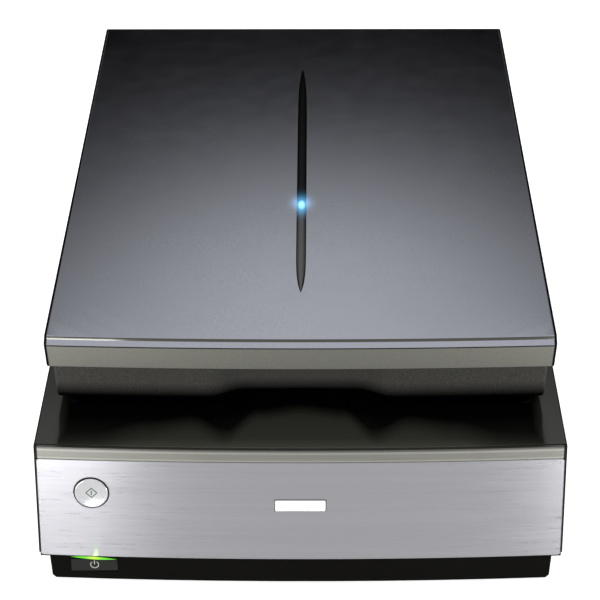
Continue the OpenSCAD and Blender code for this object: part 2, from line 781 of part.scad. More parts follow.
module carriage_frame() {
  y0 = home_y - carriage_len/2;
  y1 = home_y + carriage_len/2;
  color("#222324") difference() {
    union() {
      span([-carriage_half, y0, carriage_z0], [carriage_half, y1, carriage_top]);
      span([rod_x - bearing_half, y0, rod_z - bearing_half], [-carriage_half + 1, y1, rod_z + bearing_half]);
      span([carriage_half - 1, y0 + 10, carriage_z0], [rail_x + 6, y1 - 10, carriage_z0 + 8]);
      span([lug_x - lug_w, lock_y - 8, lock_z + lock_travel],
           [lug_x + 1, lock_y + 8, lock_z + lock_travel + 12]);
    }
    span([-carriage_half + carriage_wall, y0 + carriage_wall, carriage_z0 + carriage_wall],
         [carriage_half - carriage_wall, y1 - carriage_wall, carriage_top - carriage_wall]);
    // Light slot in the top
    span([-window_w/2, home_y - 20, carriage_top - 5], [window_w/2, home_y + 6, carriage_top + 1]);
    translate([rod_x, y0 - 1, rod_z]) rotate([-90, 0, 0])
      cylinder(r = bush_r + 0.05, h = carriage_len + 2);
    // Notch that takes the lock's tongue
    span([lug_x - lug_w - 1, lock_y - 3.5, lock_z + 7], [lug_x, lock_y + 3.5, lock_z + lock_travel + 8]);
  }
}

module carriage_bushes() {
  color("#c58a3d") for (y = [home_y - carriage_len/2 + 0.5, home_y + carriage_len/2 - 12.5])
    translate([rod_x, y, rod_z]) rotate([-90, 0, 0]) difference() {
      cylinder(r = bush_r, h = 12);
      translate([0, 0, -1]) cylinder(r = rod_r + run_gap, h = 14);
    }
}

module carriage_glide() {
  color("#dcdad2") difference() {
    span([rail_x - 4, home_y - 20, rail_top + slide_gap], [rail_x + 4, home_y + 20, carriage_z0 - 0.05]);
    span([rail_x - 2, home_y - 21, rail_top - 1], [rail_x + 2, home_y + 21, rail_top + 1.3]);
  }
}

module carriage_lamp() {
  x = carriage_half - carriage_wall - 0.2;
  color("#f2efe2") difference() {
    span([-x, home_y - 17, carriage_top - 12], [x, home_y - 8, carriage_top - 4]);
    translate([-x - 1, home_y - 8, carriage_top - 4]) rotate([45, 0, 0]) translate([0, -4, -2])
      cube([2*x + 2, 8, 4]);
  }
}

module fold_mirrors() {
  // Distance ahead of the slot, height above the carriage floor, tilt and width of each mirror
  mirrors = [[0, 10, 38, 15], [-22, 12, -25, 13], [-22, 28, 25, 12], [8, 27, -35, 12]];
  x = carriage_half - carriage_wall - 0.2;
  color("#dfe6ea") for (m = mirrors)
    translate([0, home_y + m[0], carriage_z0 + m[1]]) rotate([m[2], 0, 0])
      translate([-x, -1.5, -m[3]/2]) cube([2*x, 3, m[3]]);
}

// Lens barrel with its saddle, looking along Y
module lens(x, r) {
  floor = carriage_z0 + carriage_wall;
  axis_z = carriage_z0 + 18;
  translate([x, home_y + lens_y, axis_z]) rotate([-90, 0, 0]) difference() {
    union() {
      cylinder(r = r, h = lens_len);
      translate([0, 0, 2.5]) cylinder(r = r + 1, h = lens_len - 5);
    }
    translate([0, 0, -1]) cylinder(r = r - 2.5, h = 3);
  }
  difference() {
    span([x - r, home_y + lens_y + 2.5, floor + 0.1],
         [x + r, home_y + lens_y + lens_len - 2.5, axis_z - r/2]);
    translate([x, home_y, axis_z]) rotate([-90, 0, 0]) cylinder(r = r + 0.5, h = far);
  }
}

module film_lens() {
  color("#19191b") lens(-16, 10);
}

module document_lens() {
  color("#19191b") lens(16, 8.5);
}

module sensor_board() {
  y = home_y + carriage_len/2 - carriage_wall - 0.2;
  color("#1f5a34") union() {
    span([-52, y - board_t, carriage_z0 + 4], [52, y, carriage_top - 5]);
    for (x = [-16, 16])
      span([x - 14, y - board_t - 3, carriage_z0 + 14], [x + 14, y - board_t + 0.1, carriage_z0 + 22]);
  }
}

module belt_clamp() {
  x = gear_x + belt_pitch_r;
  color("#2c2d2e") difference() {
    span([x - 5, home_y - 8, belt_z - 2], [x + 5, home_y + 8, carriage_z0 - 0.05]);
    span([x - belt_t/2 - 0.1, home_y - 9, belt_z - 3],
         [x + belt_t/2 + 0.1, home_y + 9, belt_z + belt_h + 0.3]);
  }
}

module ribbon_cable() {
  // Flat cable from the main board along the floor, round a rolling bend and up to the carriage
  t = 0.5;
  bend_r = 8;
  bend_y = home_y - 130;
  low = floor_z + 0.3;
  bend_z = low + bend_r;
  top = low + 2*bend_r;
  end_y = home_y - 24;
  color("#dedbd0") translate([cable_x1, 0, 0]) rotate([90, 0, -90]) linear_extrude(cable_w) {
    mirror([1, 0]) {
      translate([bend_y, low]) square([board_y - 0.3 - bend_y, t]);
      translate([board_y - 0.3 - t, low]) square([t, 12]);
      translate([bend_y, top - t]) square([end_y - bend_y, t]);
      translate([end_y - t, top - t]) square([t, carriage_z0 - 0.1 - top + t]);
      translate([bend_y, bend_z]) difference() {
        circle(r = bend_r);
        circle(r = bend_r - t);
        translate([0, -bend_r - 1]) square(2*bend_r + 2);
      }
    }
  }
}

// ---------- Electronics and sockets ----------

module main_board() {
  color("#1f5a34") {
    span([board_x0, board_y, floor_z + 3.1], [board_x1, board_y + board_t, board_top]);
    translate([0, board_y, 0]) {
      span([board_mid - 21, -2.6, board_top - 42], [board_mid + 7, 0.1, board_top - 14]);
      span([usb_x - 12, -1.8, board_top - 50], [usb_x + 6, 0.1, board_top - 38]);
      span([board_x0 + 2, -1.8, board_top - 32], [board_x0 + 16, 0.1, board_top - 22]);
      for (x = [board_x0 + 8, board_x0 + 20, board_x1 - 10])
        translate([x, 0.1, board_top - 10]) rotate([90, 0, 0]) cylinder(r = 4, h = 9);
    }
  }
}

module power_supply() {
  half_d = supply_d/2;
  color("#7a6a2e") translate([supply_x0, supply_y, supply_z + 0.05]) {
    span([0, -half_d, 0], [supply_x1 - supply_x0, half_d, board_t]);
    translate([0, 0, board_t - 0.1]) {
      span([30, 2 - half_d, 0], [60, half_d - 2, 25]);
      for (x = [14, 74]) translate([x, 0, 0]) cylinder(r = 8, h = 24);
      span([86, 3 - half_d, 0], [89, half_d - 3, 25]);
      span([94, 6 - half_d, 0], [supply_x1 - supply_x0 - 3, half_d - 6, 12]);
    }
  }
}

module power_inlet() {
  color("#161616") translate([inlet_x, 0, inlet_z]) {
    difference() {
      union() {
        span([-inlet_w/2, rear_y - 17, 0], [inlet_w/2, rear_face, inlet_h]);
        span([-inlet_w/2 - 4, inner_rear - 2.2, -2], [inlet_w/2 + 4, inner_rear - seat_gap, inlet_h + 2]);
      }
      span([-12.2, rear_y - 15, 2.6], [12.2, rear_y + 1, inlet_h - 2.6]);
    }
    // Blades
    for (b = [[-7, 7], [7, 7], [0, 11]])
      span([b.x - 1, rear_y - 16, b.y - 2], [b.x + 1, rear_y - 5.2, b.y + 2]);
  }
}

// Socket with a tongue that starts well inside its mouth
module socket(x, w, h, mouth_w, mouth_h, tongue_w, tongue_h) {
  translate([x, 0, socket_z]) {
    difference() {
      span([-w/2, board_y + board_t + 0.05, 0], [w/2, rear_face, h]);
      span([-mouth_w/2, board_y + board_t + 2, h/2 - mouth_h/2], [mouth_w/2, rear_y + 1, h/2 + mouth_h/2]);
    }
    span([-tongue_w/2, board_y + board_t + 1, h/2 - tongue_h/2],
         [tongue_w/2, rear_y - 5.2, h/2 + tongue_h/2]);
  }
}

module usb_socket() {
  color("#b9bbbd") socket(usb_x, usb_w, usb_h, 8.6, 7.8, 5.6, 2.8);
}

module lid_cable_socket() {
  color("#2a2a2a") socket(0, lid_socket_w, lid_socket_h, 21, 9, 16, 2.4);
}

module button_board() {
  color("#1f5a34") on_panel(start_x, start_z) {
    span([-20, -55.5, -board_depth - board_t], [20, 13, -board_depth - 0.05]);
    span([-3, -3, -board_depth - 0.1], [3, 3, -board_depth + switch_t]);
    span([-3, -53.5, -board_depth - 0.1], [3, -47.5, -board_depth + 2]);
    span([-2, -46, -board_depth - 0.1], [2, -43.5, -board_depth + 1.6]);
  }
}

module status_light_bar() {
  face = plinth_front_y + bow_back(power_x);
  color("#7cff4a") span([power_x - power_w/2, face - 0.1, light_bar_z],
                        [power_x + power_w/2, face + 5.4, light_bar_z + light_bar_h]);
}

module transport_lock() {
  x = -inner_half + seat_gap;
  color("#3c3c3c") {
    span([x, lock_y - 8, rib_z1 + 0.8], [x + 1.8, lock_y + 8, lock_z + 26]);
    difference() {
      span([-half_w + 0.3, lock_y - 3.8, lock_z], [x + 0.5, lock_y + 3.8, lock_z + 9]);
      span([-half_w - 1, lock_y - 2.8, lock_z + 3.8], [-half_w + 1.2, lock_y + 2.8, lock_z + 5.2]);
    }
    span([x + 1, lock_y - 3, lock_z], [lug_x - 1.5, lock_y + 3, lock_z + 7]);
  }
}

module start_button() {
  stem = board_depth - switch_t - start_travel - 0.1;
  color("#cfd0d3") on_panel(start_x, start_z) {
    difference() {
      translate([0, 0, -case_front_inner - 0.3]) cylinder(r = start_r, h = case_front_inner + 0.9);
      // Dished face
      translate([0, 0, 80.1]) sphere(r = 80, $fn = 200);
    }
    translate([0, 0, -case_front_inner - 1.5]) cylinder(r = start_r + 1.8, h = 1.2);
    translate([0, 0, -stem]) cylinder(r = 3, h = 3);
  }
}

module power_button() {
  face = plinth_front_y + bow_back(power_x);
  inner = plinth_front_y + bow_back(abs(power_x) + power_w/2 + 2) + floor_t + 0.3;
  color("#30302f") {
    difference() {
      span([power_x - power_w/2, face - 0.7, power_z0],
           [power_x + power_w/2, inner + 0.5, power_z0 + power_h]);
      // Slight bevel along the lower edge
      translate([power_x - power_w/2 - 1, face - 0.7, power_z0]) rotate([45, 0, 0])
        translate([0, -0.5, -0.5]) cube([power_w + 2, 1, 1]);
    }
    span([power_x - power_w/2 - 1.4, inner, power_z0 - 1],
         [power_x + power_w/2 + 1.4, inner + 1, power_z0 + power_h]);
    translate([power_x, inner, power_z0 + power_h/2]) rotate([-90, 0, 0])
      cylinder(r = 2, h = power_stem_reach - power_travel);
  }
}

// ---------- Lid ----------

// Outside of the upper shell, shrunk by inset on every side
module cover_solid(inset) {
  half = lid_half - inset;
  nose = lid_nose_y + lid_bow_r;
  chamfer_z = lid_front_top - lid_chamfer - inset*0.4;
  intersection() {
    // Sloping top with drafted, slightly chamfered sides
    translate([0, lid_front_y + lid_chamfer, lid_front_top - inset]) rotate([lid_slope, 0, 0])
      translate([0, base_d, 0]) rotate([90, 0, 0]) linear_extrude(2*base_d)
        polygon([
          [-half + 1.4, 0], [-half, -1.4], [-half + side_draft, -24], [-half + side_draft, -60],
          [half - side_draft, -60], [half - side_draft, -24], [half, -1.4], [half - 1.4, 0]
        ]);
    // Bulging front with its chamfer
    union() {
      translate([0, nose, cover_edge_z - 1])
        cylinder(r = lid_bow_r - inset, h = chamfer_z - cover_edge_z + 1, $fn = big_fn);
      translate([0, nose, chamfer_z])
        cylinder(r1 = lid_bow_r - inset, r2 = lid_bow_r - inset - 30, h = 30, $fn = big_fn);
    }
    span([-far, -far, inset > 0 ? cover_edge_z - 2 : cover_edge_z], [far, lid_rear_y - inset, far]);
  }
}

module slit_outline(grow) {
  half = slit_len/2;
  steps = 24;
  function width(t) = (slit_w/2)*(1 - pow(abs(t), 7)) + grow;
  translate([0, slit_y]) polygon(concat(
    [for (i = [-steps:steps]) let (t = i/steps) [width(t), t*(half + grow)]],
    [for (i = [steps:-1:-steps]) let (t = i/steps) [-width(t), t*(half + grow)]]
  ));
}

module lid_top_cover() {
  color("#43454a") difference() {
    cover_solid(0);
    difference() {
      cover_solid(lid_wall_t);
      cover_bosses();
    }
    translate([0, 0, lid_front_top - 30]) linear_extrude(80) slit_outline(0.15);
    // Fine groove behind the front chamfer
    translate([0, lid_nose_y + lid_bow_r, lid_front_top - 0.5]) difference() {
      cylinder(r = lid_bow_r - lid_chamfer - 0.5, h = 3, $fn = big_fn);
      translate([0, 0, -1]) cylinder(r = lid_bow_r - lid_chamfer - 1.2, h = 5, $fn = big_fn);
      translate([0, 200, -1]) span([-far*10, -lid_bow_r + 30, 0], [far*10, far*10, 9]);
    }
    for (p = lid_screw_spots) translate([p.x, p.y, plate_top - 1]) cylinder(r = screw_r + 0.05, h = 16);
  }
}

module cover_bosses() {
  for (p = lid_screw_spots) translate([p.x, p.y, plate_top + seat_gap]) cylinder(r = cover_boss_r, h = 80);
  // Frame that carries the slit's insert
  translate([0, 0, lid_front_top - lid_wall_t - 3]) linear_extrude(60) slit_outline(2.2);
}

module skirt_outline(inset) {
  half = skirt_half - inset;
  polygon(concat(
    [for (i = [-32:32]) let (x = i/32*half) [x, skirt_front(x*skirt_half/half) + inset]],
    [[half, skirt_rear_y - inset], [-half, skirt_rear_y - inset]]
  ));
}

// Wall around the lid's lower half with its floor, and the arch of the finger scoop under it
module skirt_shell() {
  arch_r = (scoop_half*scoop_half + scoop_rise*scoop_rise)/(2*scoop_rise);
  difference() {
    union() {
      difference() {
        translate([0, 0, skirt_z]) linear_extrude(skirt_top - skirt_z) skirt_outline(0);
        translate([0, 0, skirt_z - 1]) linear_extrude(far) skirt_outline(lid_wall_t);
      }
      translate([0, 0, plate_z]) linear_extrude(plate_t) skirt_outline(1);
    }
    translate([0, skirt_y - 20, skirt_z + scoop_rise - arch_r]) rotate([-90, 0, 0])
      cylinder(r = arch_r, h = 40, $fn = big_fn);
  }
}

module finger_grip() {
  color("#1d1d1c") {
    intersection() {
      skirt_shell();
      span([-grip_half + seat_gap, -far, 0], [grip_half - seat_gap, grip_y - seat_gap, far]);
    }
    // Tongues that lap over the lid's floor
    for (s = [-1, 1]) translate([s*grip_half/2, 0, plate_top]) {
      span([-grip_tongue_w/2, grip_y - 8, -0.5], [grip_tongue_w/2, grip_y - seat_gap, 2]);
      span([-grip_tongue_w/2, grip_y - 1, 0.05], [grip_tongue_w/2, grip_y + 8, 2]);
    }
  }
}

module lid_lower_case() {
  color("#1d1d1c") difference() {
    union() {
      skirt_shell();
      lid_posts();
      translate([outlet_x, skirt_rear_y + 3, outlet_z]) rotate([90, 0, 0]) cylinder(r = 5.5, h = 5);
    }
    span([-grip_half, -far, 0], [grip_half, grip_y, far]);
    translate([0, film_y, plate_z - 1]) rounded_box(film_w, film_d, 10, 2);
    // Notches for the hinges
    for (s = [-1, 1])
      span([s*hinge_x - notch_half, notch_y, skirt_z - 1],
           [s*hinge_x + notch_half, lid_rear_y, skirt_top + 1]);
    // Slots for the mat's hooks
    for (p = mat_hooks)
      span([p.x - hook_w/2 - 0.4, p.y - 1.8 - mat_travel, plate_z - 1],
           [p.x + hook_w/2 + 0.4, p.y + 1.9, plate_top + 1]);
    for (p = lid_screw_spots) translate([p.x, p.y, plate_z - 1]) cylinder(r = screw_r + 0.2, h = 10);
    for (s = [-1, 1], p = leaf_screws) translate([s*hinge_x + p.x, notch_y + p.y, plate_z - 1])
      cylinder(r = screw_r + 0.2, h = 5);
    // The lamp rod drops into its seats from above
    translate([lamp_rod_x, lamp_rod_y0, lamp_rod_z]) rotate([-90, 0, 0])
      cylinder(r = lamp_rod_r + 0.02, h = lamp_rod_y1 - lamp_rod_y0);
    span([lamp_rod_x - lamp_rod_r - 0.02, lamp_rod_y0, lamp_rod_z],
         [lamp_rod_x + lamp_rod_r + 0.02, lamp_rod_y1, lamp_rod_z + 8]);
    // Blind end of the moulded cable outlet
    translate([outlet_x, skirt_rear_y + 4, outlet_z]) rotate([90, 0, 0]) cylinder(r = 3, h = 4);
  }
}

module lid_posts() {
  // Seats of the lamp rod
  for (y = [lamp_rod_y0 - 1, lamp_rod_y1 - lamp_seat_len + 1])
    span([lamp_rod_x - 6, y, plate_z + 1], [lamp_rod_x + 6, y + lamp_seat_len, lamp_rod_z + 5]);
  // Stand of the belt's idler
  translate([lid_belt_x, lid_idler_y, plate_z + 1]) {
    cylinder(r = 5, h = lid_belt_z - 1.2 - plate_z - 1);
    cylinder(r = 2, h = lid_belt_z + lid_belt_h + 2 - plate_z - 1);
  }
}

module lid_window() {
  color("#0c0d0f") intersection() {
    translate([0, 0, lid_front_top - 12]) linear_extrude(40) slit_outline(0);
    translate([0, slit_y, lid_top_at(slit_y) - slit_drop]) rotate([lid_slope, 0, 0])
      span([-20, -far, -window_t], [20, far, 0]);
  }
}

module lid_light() {
  top = lid_top_at(light_y) - slit_drop - window_t - 0.15;
  color("#4db8ff") translate([0, light_y, 0]) {
    translate([0, 0, top - 5]) cylinder(r = 2, h = 5);
    span([-7, -12, top - 6.5], [7, 12, top - 4.9]);
  }
}

module film_window() {
  color("#eef3f4") translate([0, film_y, plate_top + 0.05])
    rounded_box(film_w + 2*film_rim, film_d + 2*film_rim, film_t, 2);
}

module lid_bumpers() {
  color("#141414") for (s = [-1, 1], y = [skirt_y + 28, notch_y - 60])
    translate([s*bumper_x, y, deck_z + slide_gap]) {
      cylinder(r1 = bumper_r - 1, r2 = bumper_r, h = 1);
      translate([0, 0, 1]) cylinder(r = bumper_r, h = plate_z - deck_z - slide_gap - 1.05);
    }
}

module lid_screws() {
  color("#6d6f72") {
    for (p = lid_screw_spots) translate([p.x, p.y, plate_z - 2.1]) screw(14, 2.8, 2);
    for (s = [-1, 1], p = leaf_screws)
      translate([s*hinge_x + p.x, notch_y + p.y, plate_z - 2.1]) screw(8.5, 2.8, 2);
  }
}

// ---------- Lid lamp ----------

module lid_lamp_rod() {
  color("#c2c4c7") translate([lamp_rod_x, lamp_rod_y0 + 0.2, lamp_rod_z]) rotate([-90, 0, 0])
    cylinder(r = lamp_rod_r, h = lamp_rod_y1 - lamp_rod_y0 - 0.4);
}

module lid_motor() {
  color("#8f9194") translate([lid_belt_x, lid_motor_y, plate_top + 0.05]) difference() {
    union() {
      cylinder(r = lid_motor_r, h = lid_belt_z - 3 - plate_top);
      translate([-lid_motor_r - 6, -3.5, 0]) cube([2*lid_motor_r + 12, 7, 1.5]);
    }
    translate([0, 0, 2]) cylinder(r = shaft_r + run_gap, h = far);
  }
}

module lid_motor_pulley() {
  color("#e9e6dc") translate([lid_belt_x, lid_motor_y, 0]) {
    translate([0, 0, plate_top + 3]) cylinder(r = shaft_r, h = lid_belt_z - plate_top - 2);
    lid_pulley_body();
  }
}

module lid_pulley_body() {
  translate([0, 0, lid_belt_z - 0.8]) cylinder(r = lid_pulley_r, h = lid_belt_h + 1.6);
  for (z = [-0.8, lid_belt_h + 0.3]) translate([0, 0, lid_belt_z + z])
    cylinder(r = lid_pulley_r + 2, h = 0.5);
}

module lid_idler() {
  color("#e9e6dc") translate([lid_belt_x, lid_idler_y, 0]) difference() {
    lid_pulley_body();
    translate([0, 0, lid_belt_z - 2]) cylinder(r = 2 + run_gap, h = 20);
  }
}

module lid_belt() {
  color("#262626")
    belt_loop(lid_belt_x, lid_idler_y, lid_motor_y, lid_belt_z, lid_belt_h, lid_belt_mid_r, lid_belt_t);
}

module film_lamp_carriage() {
  y0 = lamp_home_y - lamp_len/2;
  clamp_x = lid_belt_x - lid_belt_mid_r;
  color("#dfe0e0") difference() {
    union() {
      span([-lamp_half, y0, lamp_z], [lamp_half, y0 + lamp_len, lamp_z + lamp_h]);
      span([lamp_rod_x - 6, y0, lamp_rod_z - 6], [-lamp_half + 1, y0 + lamp_len, lamp_rod_z + 6]);
      span([clamp_x - 4, lamp_home_y - 6, lamp_z + lamp_h - 1],
           [clamp_x + 4, lamp_home_y + 6, lid_belt_z + lid_belt_h]);
    }
    span([-lamp_half + 2, y0 + 2, lamp_z - 1], [lamp_half - 2, y0 + lamp_len - 2, lamp_z + lamp_h - 2]);
    translate([lamp_rod_x, y0 - 1, lamp_rod_z]) rotate([-90, 0, 0])
      cylinder(r = lamp_rod_r + run_gap, h = lamp_len + 2);
    span([clamp_x - lid_belt_t/2 - 0.1, y0 - 1, lid_belt_z - 0.3],
         [clamp_x + lid_belt_t/2 + 0.1, y0 + lamp_len + 1, lid_belt_z + lid_belt_h + 1]);
  }
}

module film_lamp_tubes() {
  x = lamp_half - 2.2;
  color("#fbfdff") for (y = [-6.5, 6.5]) translate([-x, lamp_home_y + y, lamp_z + 7]) rotate([0, 90, 0]) {
    cylinder(r = 2.6, h = 2*x);
    for (z = [0, 2*x - 8]) translate([0, 0, z]) cylinder(r = 3.8, h = 8);
  }
}

module document_mat() {
  color("#e8e8e6") {
    translate([0, window_y, mat_z]) rounded_box(mat_w, mat_d, plate_z - mat_z - 0.4, 3);
    for (p = mat_hooks) {
      span([p.x - hook_w/2, p.y - 1.5, plate_z - 1], [p.x + hook_w/2, p.y + 1.5, plate_top + 1.8]);
      span([p.x - hook_w/2, p.y - 1.5, plate_top + slide_gap], [p.x + hook_w/2, p.y + 6.5, plate_top + 1.8]);
    }
  }
}

// ---------- Nodes ----------

base_lower_case();
base_upper_case();
front_trim();
front_panel();
nameplate_blank();
platen_glass();
calibration_strip();
rubber_feet();
carriage_rod();
rod_clips();
motor_bracket();
scan_motor();
drive_belt();
idler_bracket();
main_board();
power_supply();
power_inlet();
usb_socket();
lid_cable_socket();
button_board();
status_light_bar();
case_screws();
hinge_sockets();
finger_grip();
ribbon_cable();
transport_lock();
start_button();
power_button();
motor_pinion();
drive_gear();
idler_pulley();
carriage_frame();
carriage_bushes();
carriage_glide();
carriage_lamp();
fold_mirrors();
film_lens();
document_lens();
sensor_board();
belt_clamp();
hinge_post(-1);  // hinge_post_left
hinge_post(1);  // hinge_post_right
lid_top_cover();
lid_lower_case();
lid_window();
lid_light();
hinge_leaf(-1);  // hinge_leaf_left
hinge_leaf(1);  // hinge_leaf_right
hinge_pins();
film_window();
lid_bumpers();
lid_screws();
lid_lamp_rod();
lid_motor();
lid_motor_pulley();
lid_belt();
lid_idler();
film_lamp_carriage();
film_lamp_tubes();
document_mat();
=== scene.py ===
"""Looks of the flatbed film scanner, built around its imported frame. Lengths are in metres."""

import json
import math

import bmesh
import bpy
from mathutils import Matrix, Vector


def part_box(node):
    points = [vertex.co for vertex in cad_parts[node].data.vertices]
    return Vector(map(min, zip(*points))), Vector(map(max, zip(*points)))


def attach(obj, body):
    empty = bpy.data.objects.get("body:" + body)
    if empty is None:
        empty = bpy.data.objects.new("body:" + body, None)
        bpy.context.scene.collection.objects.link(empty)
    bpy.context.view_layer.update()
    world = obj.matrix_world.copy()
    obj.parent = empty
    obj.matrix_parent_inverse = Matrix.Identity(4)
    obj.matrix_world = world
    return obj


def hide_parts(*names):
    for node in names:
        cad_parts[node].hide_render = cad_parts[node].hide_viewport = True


MM = 0.001

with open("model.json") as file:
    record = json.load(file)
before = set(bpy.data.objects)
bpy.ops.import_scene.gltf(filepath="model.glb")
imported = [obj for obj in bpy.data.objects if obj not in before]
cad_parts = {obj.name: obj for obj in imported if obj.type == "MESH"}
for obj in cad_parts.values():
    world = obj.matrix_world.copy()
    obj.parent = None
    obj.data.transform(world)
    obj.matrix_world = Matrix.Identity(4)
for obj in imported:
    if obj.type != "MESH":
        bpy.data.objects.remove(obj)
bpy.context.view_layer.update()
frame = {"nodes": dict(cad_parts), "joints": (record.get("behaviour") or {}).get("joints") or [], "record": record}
nodes = frame["nodes"]


# ---------- Sizes taken from the frame ----------

def low(node, axis):
    """Lowest coordinate of a CAD node along an axis."""
    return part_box(node)[0]["xyz".index(axis)]


def high(node, axis):
    """Highest coordinate of a CAD node along an axis."""
    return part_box(node)[1]["xyz".index(axis)]


def middle(node):
    """Centre of a CAD node's box."""
    a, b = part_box(node)
    return (a + b) / 2


def joint(name):
    """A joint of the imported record."""
    return next(j for j in frame["joints"] if j["name"] == name)


BASE_HALF = high("base_upper_case", "x")
DECK_Z = high("base_upper_case", "z")
PANEL_FOOT_Z = low("front_panel", "z")
PANEL_TOP_Z = high("front_panel", "z")
PANEL_HALF = high("front_panel", "x")
TRIM_FOOT_Z = low("front_trim", "z")
TRIM_TOP_Z = high("front_trim", "z")
SKIN_THICK = 2.0 * MM
FRONT_Y = -high("base_upper_case", "y")
FRONT_BOW = 4.5 * MM
BOW_RADIUS = (BASE_HALF**2 + FRONT_BOW**2) / (2 * FRONT_BOW)
PRESS = joint("start_press")["axis"]
LEAN = math.atan2(-PRESS[2], PRESS[1])
START_X, START_Z = 32.5 * MM - BASE_HALF, 62.9 * MM
START_RADIUS = 9.8 * MM
START_HOLE = 10.5 * MM
START_SQUASH = 0.94
DISH_RADIUS = 62.0 * MM
DISH_DEPTH = 0.1 * MM
POWER_X = START_X - 0.4 * MM
POWER_FACE_Y = low("power_button", "y")
POWER_Z = 13.3 * MM
PLATE_Z = 56.5 * MM
PLATE_HALF_X = 14.7 * MM
PLATE_HALF_Z = 3.45 * MM
BAR_X = POWER_X
BAR_Z = 19.35 * MM
BAR_HALF = 13.8 * MM
BAR_RISE = 1.05 * MM
BAR_TILT = -0.045
PANEL_LIP = 1.7 * MM
PLINTH_FRONT_Y = low("base_lower_case", "y")

LID_HALF = high("lid_top_cover", "x")
LID_NOSE_Y = low("lid_top_cover", "y")
LID_REAR_Y = high("lid_top_cover", "y")
LID_EDGE_Z = low("lid_top_cover", "z")
LID_BOW = 3.5 * MM
LID_BOW_RADIUS = (LID_HALF**2 + LID_BOW**2) / (2 * LID_BOW)
LID_CORNER_Y = LID_NOSE_Y + LID_BOW
LID_CHAMFER = 3.2 * MM
LID_FRONT_TOP = DECK_Z + 51.2 * MM
LID_REAR_TOP = high("lid_top_cover", "z")
LID_SLOPE = (LID_REAR_TOP - LID_FRONT_TOP) / (LID_REAR_Y - LID_CORNER_Y - LID_CHAMFER)
LID_WALL = 2.5 * MM
LID_CORNER = 1.2 * MM
SIDE_DRAFT = 1.5 * MM
DRAFT_START = 1.4 * MM
DRAFT_HEIGHT = 22.6 * MM
SLIT_MIDDLE_Y = middle("lid_window").y
SLIT_HALF_LENGTH = (high("lid_window", "y") - low("lid_window", "y")) / 2
SLIT_HALF_WIDTH = high("lid_window", "x") * 0.94
SLIT_DROP = 1.2 * MM
LIGHT_Y = middle("lid_light").y + 2.2 * MM
LENS_HALF_X = 2.4 * MM
LENS_HALF_Y = 6.2 * MM

SKIRT_HALF = high("lid_lower_case", "x")
SKIRT_FOOT_Z = low("lid_lower_case", "z")
SKIRT_CORNER_Y = LID_CORNER_Y + 9.8 * MM
SKIRT_REAR_Y = LID_REAR_Y - 5 * MM
SKIRT_CORNER = 1.8 * MM
SKIRT_HEIGHT = 32.2
SKIRT_FLARE = 1.4 * MM
SKIRT_INSET = 2.8 * MM
SCOOP_DEPTH = 8.0 * MM
SCOOP_HALF = 54.0 * MM
SCOOP_RISE = 2.2 * MM
HINGE_X = abs(middle("hinge_post_left").x)
NOTCH_HALF = 15.0 * MM
NOTCH_Y = 204.0 * MM
FILM_HOLE = (101.5 * MM, 127.0 * MM, -5.0 * MM)
FLOOR_Z = SKIRT_FOOT_Z + 2 * MM


def lid_top(y):
    """Height of the lid's sloping top at y."""
    return LID_FRONT_TOP + (y - LID_CORNER_Y - LID_CHAMFER) * LID_SLOPE


# ---------- Mesh helpers ----------

def new_object(name, mesh):
    """Links a new object that holds the mesh."""
    obj = bpy.data.objects.new(name, mesh)
    bpy.context.scene.collection.objects.link(obj)
    return obj


def round_edges(obj, width, angle=35):
    """Small rounded edges."""
    bevel = obj.modifiers.new("bevel", "BEVEL")
    bevel.width = width
    bevel.segments = 2
    bevel.limit_method = "ANGLE"
    bevel.angle_limit = math.radians(angle)
    bevel.use_clamp_overlap = True


def weighted_normals(obj, sharp_angle=40):
    """Keeps flat faces flat between rounded edges."""
    obj.data.polygons.foreach_set("use_smooth", [True] * len(obj.data.polygons))
    obj.data.set_sharp_from_angle(angle=math.radians(sharp_angle))
    keep = obj.modifiers.new("weighted_normals", "WEIGHTED_NORMAL")
    keep.keep_sharp = True
    keep.weight = 80


class Shape:
    """Collects a closed mesh from loops of points, skins between them and filled faces."""

    def __init__(self):
        self.bm = bmesh.new()

    def loop(self, points):
        return [self.bm.verts.new(p) for p in points]

    def skin(self, loops, closed=True):
        """Quads from each loop to the next."""
        for a, b in zip(loops, loops[1:]):
            count = len(a)
            for i in range(count if closed else count - 1):
                k = (i + 1) % count
                self.bm.faces.new((a[i], a[k], b[k], b[i]))

    def fill(self, *loops):
        """Flat face inside the first loop, with the other loops as holes."""
        edges = []
        for loop in loops:
            for a, b in zip(loop, loop[1:] + loop[:1]):
                edges.append(self.bm.edges.get((a, b)) or self.bm.edges.new((a, b)))
        bmesh.ops.triangle_fill(self.bm, use_beauty=True, edges=edges, normal=(0.0, 0.0, 1.0))

    def cap(self, loop):
        self.bm.faces.new(loop)

    def finish(self, name, body, slot, replaced=(), material=None, bevel=0.0, sharp_angle=40):
        """Turns the faces outward and hands the piece on; its slot gives the material if none is named."""
        bmesh.ops.remove_doubles(self.bm, verts=self.bm.verts, dist=1e-7)
        bmesh.ops.recalc_face_normals(self.bm, faces=self.bm.faces)
        mesh = bpy.data.meshes.new(name)
        self.bm.to_mesh(mesh)
        self.bm.free()
        obj = new_object(name, mesh)
        obj.data.materials.append(material or MATERIALS[slot])
        if bevel:
            round_edges(obj, bevel)
        weighted_normals(obj, sharp_angle)
        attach(obj, body)
        if replaced:
            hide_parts(*replaced)
        return obj


def bow(x, radius):
    """How far a front bulging with this radius falls back at x."""
    return radius - math.sqrt(radius**2 - x**2)


def smooth(t):
    t = min(1.0, max(0.0, t))
    return t * t * (3 - 2 * t)


def spread(start, end, count):
    """Evenly spaced values with both ends."""
    return [start + (end - start) * i / count for i in range(count + 1)]


